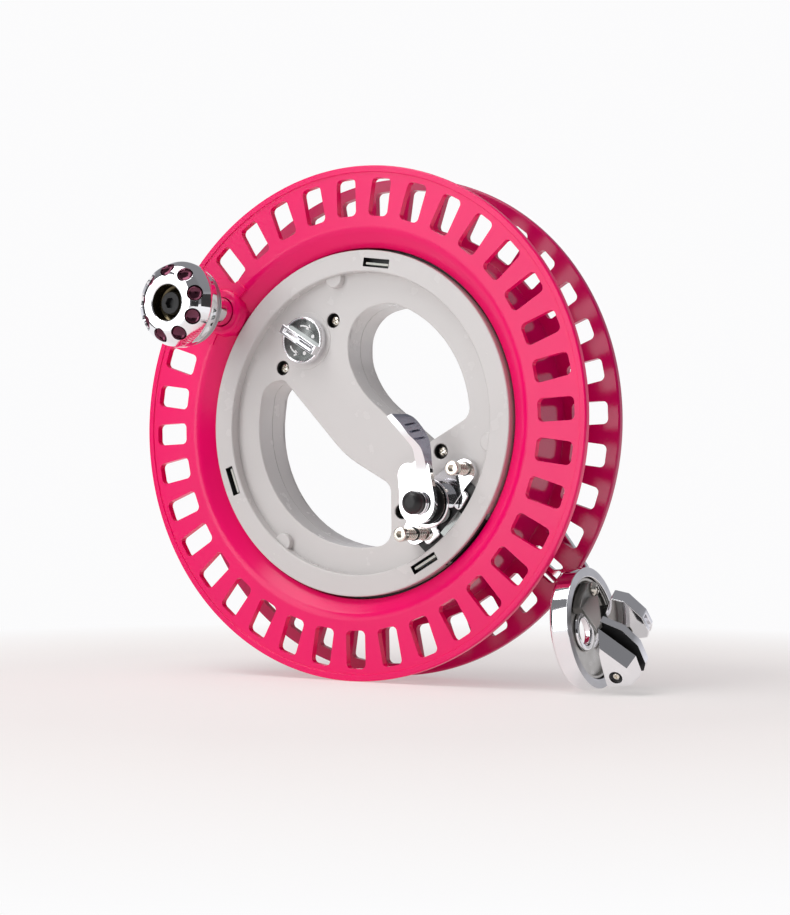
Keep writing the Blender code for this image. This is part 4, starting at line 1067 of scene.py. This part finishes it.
def make_guide_ring():
    inner, outer = GUIDE_RING_R
    depth = GUIDE_RING_DEPTH
    ring = axis_turned("guide_ring_skin", ring_profile((
        (inner, 0.0, 0.35), (outer, 0.0, 0.3), (outer, -depth, 2.2), (inner - 2.4, -depth, 0.3),
        (inner - 2.4, 1.2 - depth, 0.2), (inner, 1.2 - depth, 0.0),
    ), 12.0), "chrome", 180)
    lug = axis_turned("lug", ring_profile((
        (inner - 0.4, 1.3 - depth, 0.0), (outer + 0.5, 1.3 - depth, 0.0), (outer + 0.5, -depth - 6.9, 0.4),
        (inner - 0.4, -depth - 6.9, 0.4),
    )), "chrome", 180)
    x, y, z = GUIDE_CENTRE
    corner = [(x - 40, z + 8.5), (x + 10, z + 8.5), (x + 10, z + 40), (x - 40, z + 40)]
    boolean(lug, prism("sector", corner, y + 8, ARM_Y[0] - 0.3, "chrome"), "INTERSECT")
    cut(lug, rod(FLANGE_R + 1.4, 30, WHEEL_WIDTH + 0.4, "chrome", 180))
    merged(ring, lug)
    along = guide_matrix().to_3x3() @ Vector((1, 0, 0))

    def in_front_face(at, normal):
        return normal.dot(along) > 0.97 and (at - GUIDE_CENTRE).dot(along) > -1.0

    paint_faces(ring, "turned", in_front_face)
    return finish(ring, "handle", "chrome", "guide_ring")


def make_carrier():
    inner = GUIDE_RING_R[0]
    plate_piece = axis_turned("guide_carrier_skin", axle_profile((
        (0.0, -5.7, 0), (inner - 0.35, -5.7, 0.2), (inner - 0.35, -1.2, 0.3), (inner - 1.5, -1.2, 0.3),
        (inner - 1.9, CARRIER_FACE, 0.3), (0.0, CARRIER_FACE, 0),
    )), "inner", 160)
    hole = rod(EYELET_R + 2.0, -20, 20, "inner", 64, (-EYELET[0], EYELET[1]))
    cut(plate_piece, moved(hole, axis_matrix()))
    finish(plate_piece, "guide", "steel", "guide_carrier")
    face = CARRIER_FACE
    eyelet = axis_turned("guide_eyelet_skin", ring_profile((
        (EYELET_R, -4.6, 1.0), (EYELET_R + 1.7, -5.7, 0.3), (EYELET_R + 1.7, face + 0.3, 0.0),
        (EYELET_R + 3.0, face + 0.3, 0.3), (EYELET_R + 2.4, face + 1.6, 0.7), (EYELET_R, face + 1.3, 1.0),
    ), 10.0), "chrome", 80, EYELET)
    finish(eyelet, "guide", "chrome", "guide_eyelet")


# The forks' outlines across their pins: out along the guide's axis, then up
FORK_OUTLINE = (
    (5.6, 1.0), (10.0, 9.8), (17.6, 4.6), (21.8, -3.0), (22.2, -11.4), (20.4, -14.6), (9.2, -14.6),
    (7.4, -12.2), (6.2, -4.0),
)
NEAR_EDGE_OUTLINE = (
    (5.6, 1.0), (10.2, 9.2), (15.8, 2.1), (21.4, -5.0), (21.4, -12.0), (20.0, -14.6), (9.2, -14.6),
    (7.4, -12.2), (6.2, -4.0),
)
NEAR_FACE_OUTLINE = (
    (9.7, 1.0), (10.7, 3.5), (14.7, -1.6), (18.7, -6.7), (18.9, -12.4), (18.2, -14.4), (8.0, -14.4),
    (8.2, -11.0), (8.8, -5.0),
)
NEAR_FACE = 22.3
NEAR_LAYERS = (
    (8.5, FORK_OUTLINE), (14.4, FORK_OUTLINE), (14.6, NEAR_EDGE_OUTLINE), (16.7, NEAR_EDGE_OUTLINE),
    (NEAR_FACE, NEAR_FACE_OUTLINE),
)
FAR_OUTLINE = (
    (6.0, -1.0), (10.4, 5.4), (15.8, 3.1), (20.6, -5.0), (21.4, -11.4), (20.0, -14.4), (9.2, -14.6),
    (7.4, -12.2), (6.4, -5.0),
)
FAR_FACE = 14.6
FAR_LAYERS = ((7.6, FAR_OUTLINE), (FAR_FACE, FAR_OUTLINE))
NEAR_SLOT = (12.5, 16.5)
FAR_SLOT = (9.8, 12.4)
NEAR_GAP_TOP = 12.0
FAR_GAP_TOP = -6.2
FORK_GAP_START = 8.8
# The stem: its foot as (across, up, rounding), then its fold in the guide's frame and its end in the rotor's
STEM_OUTLINE = (
    (-12.8, 8.6, 1.0), (-8.6, 13.6, 2.0), (-1.8, 18.4, 2.5), (4.2, 18.4, 1.6), (5.6, 13.4, 1.0),
    (-2.0, 10.6, 1.0), (-11.4, 6.0, 0.6),
)
STEM_FOLD = ((1.2, -12.3, 8.1), (5.2, -3.6, 12.6), (4.7, -2.5, 11.0), (0.7, -11.3, 6.5))
STEM_END = ((9.9, -17.4, 9.2), (10.6, -12.7, 9.2), (10.1, -12.6, 7.1), (9.1, -17.3, 7.1))


def limits(side, pair):
    return sorted((side * pair[0], side * pair[1]))


def fork_pin(shift):
    return FORK_PIN[0] + shift[0], FORK_PIN[1] + shift[1]


def fork_block(name, side, layers, slot, gap_top, shift=(0.0, 0.0)):
    """Two cheeks with a slot for the roller, from layers of (distance along the pin, outline)."""
    rings = [[(x + shift[0], side * y, z + shift[1]) for x, z in outline] for y, outline in layers]
    block = moved(lofted(name, rings, "chrome"), rotor_matrix())
    corners = ((FORK_GAP_START, -20.0), (30.0, -20.0), (30.0, gap_top), (FORK_GAP_START, gap_top))
    gap = [(x + shift[0], z + shift[1]) for x, z in corners]
    cut(block, rotor_prism("gap", gap, *limits(side, slot)))
    return cut(block, moved(rod(1.7, -40, 40, "rubber", 40, fork_pin(shift)), rotor_matrix()))


def fork_details(name, side, face, slot, shift=(0.0, 0.0)):
    """The roller in the slot and the pin through it, which ends just under the outer face."""
    pin = fork_pin(shift)
    middle, half = side * sum(slot) / 2, (slot[1] - slot[0]) / 2 - 0.3
    roller = turned(f"{name}_roller_skin", ring_profile((
        (1.7, middle - half, 0.0), (3.6, middle - half, 0.3), (2.7, middle, 1.5), (3.6, middle + half, 0.3),
        (1.7, middle + half, 0.0),
    ), 10.0), "steel", 48, pin)
    finish(moved(roller, rotor_matrix()), f"{name}_roller", "steel", f"{name}_roller")
    low, high = limits(side, (slot[0] - 3.6, face - 0.6))
    bar = turned(f"{name}_pin_skin", axle_profile((
        (0, low, 0), (1.35, low, 0.3), (1.35, high, 0.3), (0, high, 0),
    )), "steel", 32, pin)
    end = high if side > 0 else low
    cut(bar, rod(0.8, end - 0.9, end + 0.9, "rubber", 6, pin))
    finish(moved(bar, rotor_matrix()), "guide", "steel", f"{name}_pin")


def stem_plate():
    """The bent plate from the foot under the screw to the near fork's top edge."""
    fold = [guide_matrix() @ Vector(point) for point in STEM_FOLD]
    foot = [guide_matrix() @ Vector((CARRIER_FACE + 0.6, across, up)) for _, across, up in STEM_FOLD]
    end = [rotor_matrix() @ Vector(point) for point in STEM_END]
    return lofted("stem_plate", [foot, fold, end], "brushed")


def make_forks():
    near = fork_block("near_fork_skin", -1, NEAR_LAYERS, NEAR_SLOT, NEAR_GAP_TOP)
    cut(near, moved(rod(WELL_R, -30, -20.9, "rubber", 48, FORK_PIN), rotor_matrix()))
    edged(near, 0.35, 30.0)
    outward = rotor_matrix().to_3x3() @ Vector((0, -1, 0))
    well = rotor_matrix() @ Vector((FORK_PIN[0], -22.0, FORK_PIN[1]))
    # The sunk hole around the screw is painted black: painted shade.
    paint_faces(near, "rubber", lambda at, normal: in_shaded_well(at - well, outward))
    stem = edged(stem_plate(), 0.3, 30.0)
    foot = axis_prism("foot", rounded(STEM_OUTLINE, 12.0), CARRIER_FACE + 0.3, 1.15, "brushed")
    merged(near, stem, edged(foot, 0.35, 50.0))
    finish(near, "guide", "chrome", "near_fork")
    far = fork_block("far_fork_skin", 1, FAR_LAYERS, FAR_SLOT, FAR_GAP_TOP, FAR_SHIFT)
    edged(far, 0.35, 30.0)
    root = axis_prism("root", rounded((
        (8.8, 8.6, 0.8), (14.6, 8.6, 0.8), (17.4, 2.0, 1.0), (13.8, -4.0, 1.0), (8.8, 1.0, 1.0),
    ), 15.0), CARRIER_FACE + 0.3, 5.5, "smoked")
    merged(far, edged(root, 0.3, 50.0))
    finish(far, "guide", "chrome", "far_fork")
    fork_details("near", -1, NEAR_FACE, NEAR_SLOT)
    fork_details("far", 1, FAR_FACE, FAR_SLOT, FAR_SHIFT)


def in_shaded_well(offset, outward):
    """True inside the sunk hole around the near fork's screw, which is painted black: painted shade."""
    depth = offset.dot(outward)
    return (offset - outward * depth).length < WELL_R - 0.01 and depth < 0.28


def make_fork_screw():
    seat = 1.5
    place = (-FORK_SCREW[0], FORK_SCREW[1])
    screw = turned("fork_screw_skin", axle_profile((
        (0.0, seat + 1.9, 0), (1.8, seat + 1.9, 1.6), (2.9, seat + 0.5, 0.3), (2.9, seat, 0.1),
        (0.8, seat, 0.0), (0.8, -5.3, 0.0), (0.0, -5.3, 0),
    )), "steel", 48, place)
    crossed(screw, place, 30.0, 3.0, 0.7, seat + 0.9, seat + 3.0)
    finish(moved(screw, axis_matrix()), "guide", "steel", "fork_screw")


def make_guide_arm():
    outer = rounded((
        (60.5, -17.5, 4.0), (81.5, -46.5, 30.0), (92.6, -61.5, 4.0), (91.6, -75.0, 3.0), (84.0, -74.0, 4.0),
        (73.6, -64.5, 20.0), (37.6, -37.4, 4.0), (48.0, -14.0, 4.0),
    ), 8.0)
    inner = rounded((
        (58.0, -26.0, 2.0), (78.0, -53.0, 10.0), (83.0, -62.0, 2.0), (77.0, -62.5, 3.0), (49.5, -41.0, 2.0),
    ), 10.0)
    holes = [circle(p, 1.9, 32) for p in ARM_SCREWS] + [circle(p, 1.4, 24) for p in LUG_SCREWS]
    arm = plate("guide_arm_skin", [outer, inner, *holes], *ARM_Y, 0.5, "chrome")
    finish(arm, "handle", "chrome", "guide_arm")
    low, high = WHEEL_WIDTH - FLOOR_Y + 0.35, ARM_Y[0] - 0.3
    for number, place in enumerate(ARM_SCREWS, 1):
        spacer = turned(f"arm_spacer_skin_{number}", ring_profile((
            (2.0, low, 0.0), (4.2, low, 0.3), (4.2, high, 0.3), (2.0, high, 0.0),
        )), "chrome", 48, place)
        finish(spacer, "handle", "chrome", f"arm_spacer_{number}")
        rear_screw(f"arm_screw_skin_{number}", place, 3.0, 2.1, 1.5, 20.2, f"arm_screw_{number}")
    for number, place in enumerate(LUG_SCREWS, 1):
        rear_screw(f"lug_screw_skin_{number}", place, 2.2, 1.5, 0.8, 37.3, f"lug_screw_{number}")


def rear_screw(name, place, radius, depth, shank, start, node):
    """A pan-head screw whose head faces +Y."""
    seat = ARM_Y[1] + 0.3
    screw = turned(name, axle_profile((
        (0.0, start, 0), (shank, start, 0.1), (shank, seat, 0.0), (radius, seat, 0.2),
        (radius, seat + depth * 0.5, 0.2), (radius * 0.6, seat + depth, radius * 0.5), (0.0, seat + depth, 0),
    )), "steel", 40, place)
    crossed(screw, place, 15.0, radius * 1.1, radius * 0.28, seat + depth * 0.5, seat + 4)
    finish(screw, "handle", "steel", node)


# ---- CAD nodes that stay


def dress_cad_nodes():
    """The nodes that keep their CAD mesh get finished materials."""
    kept = {
        "inner": (
            "bearing_inner_race", "bearing_outer_race", "ratchet_ring", "pawl", "pawl_pin", "selector_cam",
        ),
        "nylon": ("ball_cage",),
        "smoked": ("brake_shoe",),
        "rubber": ("brake_lining",),
    }
    for material, names in kept.items():
        for name in names:
            node = frame["nodes"][name]
            node.data.materials.clear()
            node.data.materials.append(MATERIALS[material])


# ---- stage


CAMERA_AT = Vector((390.1, -611.3, -41.8))
CAMERA_BACK = Vector((0.51525, -0.85624, -0.03699)).normalized()
CAMERA_LENS = 66.96
SENSOR_WIDTH = 36.0
AIM = Vector((0, 0, 0.1))
BACKDROP = (0.97, 0.968, 0.975, 1.0)
FLOOR_GLOW = (0.99, 0.96, 0.95, 1.0)
FLOOR_HALF = 6.0
ROOM_DIM = (0.2, 0.2, 0.21, 1.0)
ROOM_PALE = (0.86, 0.86, 0.92, 1.0)


def make_camera():
    data = bpy.data.cameras.new("camera")
    data.lens = CAMERA_LENS
    data.sensor_width = SENSOR_WIDTH
    camera = linked("camera", data)
    right = Vector((0, 0, 1)).cross(CAMERA_BACK).normalized()
    up = CAMERA_BACK.cross(right)
    axes = Matrix((right, up, CAMERA_BACK)).transposed()
    camera.matrix_world = Matrix.Translation(ORIGIN + CAMERA_AT * MM) @ axes.to_4x4()
    bpy.context.scene.camera = camera


def flat_square(name, half_width, half_height):
    w, h = half_width, half_height
    mesh = bpy.data.meshes.new(name)
    mesh.from_pydata([(-w, -h, 0), (w, -h, 0), (w, h, 0), (-w, h, 0)], [], [(0, 1, 2, 3)])
    return linked(name, mesh)


def make_floor():
    """Warm paper under the reel, which fades into the backdrop's tone around it."""
    floor = flat_square("floor", FLOOR_HALF, FLOOR_HALF)
    shader = Shader("floor_paper", (0.92, 0.865, 0.845), 0.0, 0.15)
    shader.vary_colour(3.0, 0.01).vary_roughness(20.0, 0.6, 0.75).bump(400.0, 0.02)
    tree = shader.tree
    distance = tree.nodes.new("ShaderNodeVectorMath")
    distance.operation = "LENGTH"
    tree.links.new(shader.place, distance.inputs[0])
    reach = distance.outputs["Value"]
    glow = tree.nodes.new("ShaderNodeEmission")
    tone = colour_mix(tree, map_range(tree, reach, 0.0, 1.0, 0.24, 0.42), FLOOR_GLOW, BACKDROP)
    tree.links.new(tone, glow.inputs["Color"])
    fade = map_range(tree, reach, 0.4, 1.0, 0.18, 0.42)
    surface = shader_mix(tree, fade, shader.bsdf.outputs["BSDF"], glow.outputs["Emission"])
    tree.links.new(surface, tree.nodes["Material Output"].inputs["Surface"])
    floor.data.materials.append(shader.material)


def aimed(place):
    """The rotation that turns an object at that place towards the reel."""
    return (AIM - Vector(place)).to_track_quat("-Z", "Y").to_euler()


def area_light(name, place, size, power):
    data = bpy.data.lights.new(name, "AREA")
    data.shape = "RECTANGLE"
    data.size, data.size_y = size
    data.energy = power
    light = linked(name, data)
    light.location = place
    light.rotation_euler = aimed(place)


def dark_card(name, place, width, height, shade):
    """A grey card that the camera doesn't see, for the plated pieces to mirror."""
    card = flat_square(name, width / 2, height / 2)
    card.location = place
    card.rotation_euler = aimed(place)
    shader = Shader(name, (shade, shade, shade), 0.0, 0.1)
    card.data.materials.append(shader.vary_colour(2.0, 0.1).vary_roughness(5.0, 0.7, 0.9).material)
    card.visible_camera = False
    card.visible_shadow = False


def make_world():
    """The camera sees a pale backdrop. Everything else sees it fade upwards, and a dim room in front."""
    world = bpy.data.worlds.new("world")
    bpy.context.scene.world = world
    world.use_nodes = True
    tree = world.node_tree
    nodes, links = tree.nodes, tree.links
    backdrop = nodes["Background"]
    backdrop.inputs["Color"].default_value = BACKDROP
    room = nodes.new("ShaderNodeBackground")
    split = nodes.new("ShaderNodeSeparateXYZ")
    links.new(nodes.new("ShaderNodeTexCoord").outputs["Generated"], split.inputs["Vector"])
    glow = nodes.new("ShaderNodeMath")
    glow.operation = "MULTIPLY"
    links.new(map_range(tree, split.outputs["Y"], 0.0, 1.0, -0.25, 0.35), glow.inputs[0])
    links.new(map_range(tree, split.outputs["Z"], 1.0, 0.08, 0.02, 0.5), glow.inputs[1])
    links.new(colour_mix(tree, glow.outputs["Value"], ROOM_DIM, ROOM_PALE), room.inputs["Color"])
    seen = nodes.new("ShaderNodeLightPath").outputs["Is Camera Ray"]
    surface = shader_mix(tree, seen, room.outputs["Background"], backdrop.outputs["Background"])
    links.new(surface, nodes["World Output"].inputs["Surface"])


def make_lights():
    bpy.context.scene.view_settings.view_transform = "Standard"
    area_light("front_box", (-0.60, -1.5, 0.70), (0.72, 1.6), 10.0)
    area_light("left_box", (-0.985, -1.2, 0.35), (0.12, 0.6), 0.5)
    area_light("top_box", (-0.35, -0.45, 1.6), (1.2, 1.2), 17.0)
    dark_card("card_left", (-1.35, -0.95, 0.2), 0.95, 0.9, 0.03)
    dark_card("card_camera", (0.85, -1.5, 0.3), 0.9, 0.7, 0.03)
    dark_card("card_right", (1.35, 0.05, 0.3), 0.8, 0.9, 0.04)


make_camera()
make_floor()
make_world()
make_lights()
make_front_flange()
make_rear_flange()
make_wheel_screws()
make_drum()
make_knob_shell()
make_knob_mount()
make_front_hub()
make_rear_hub()
make_grip_screws()
make_dust_seal()
make_selector()
make_selector_marks()
make_brake_bracket()
make_ear_screws()
make_brake_lever()
make_guide_ring()
make_carrier()
make_forks()
make_fork_screw()
make_guide_arm()
dress_cad_nodes()
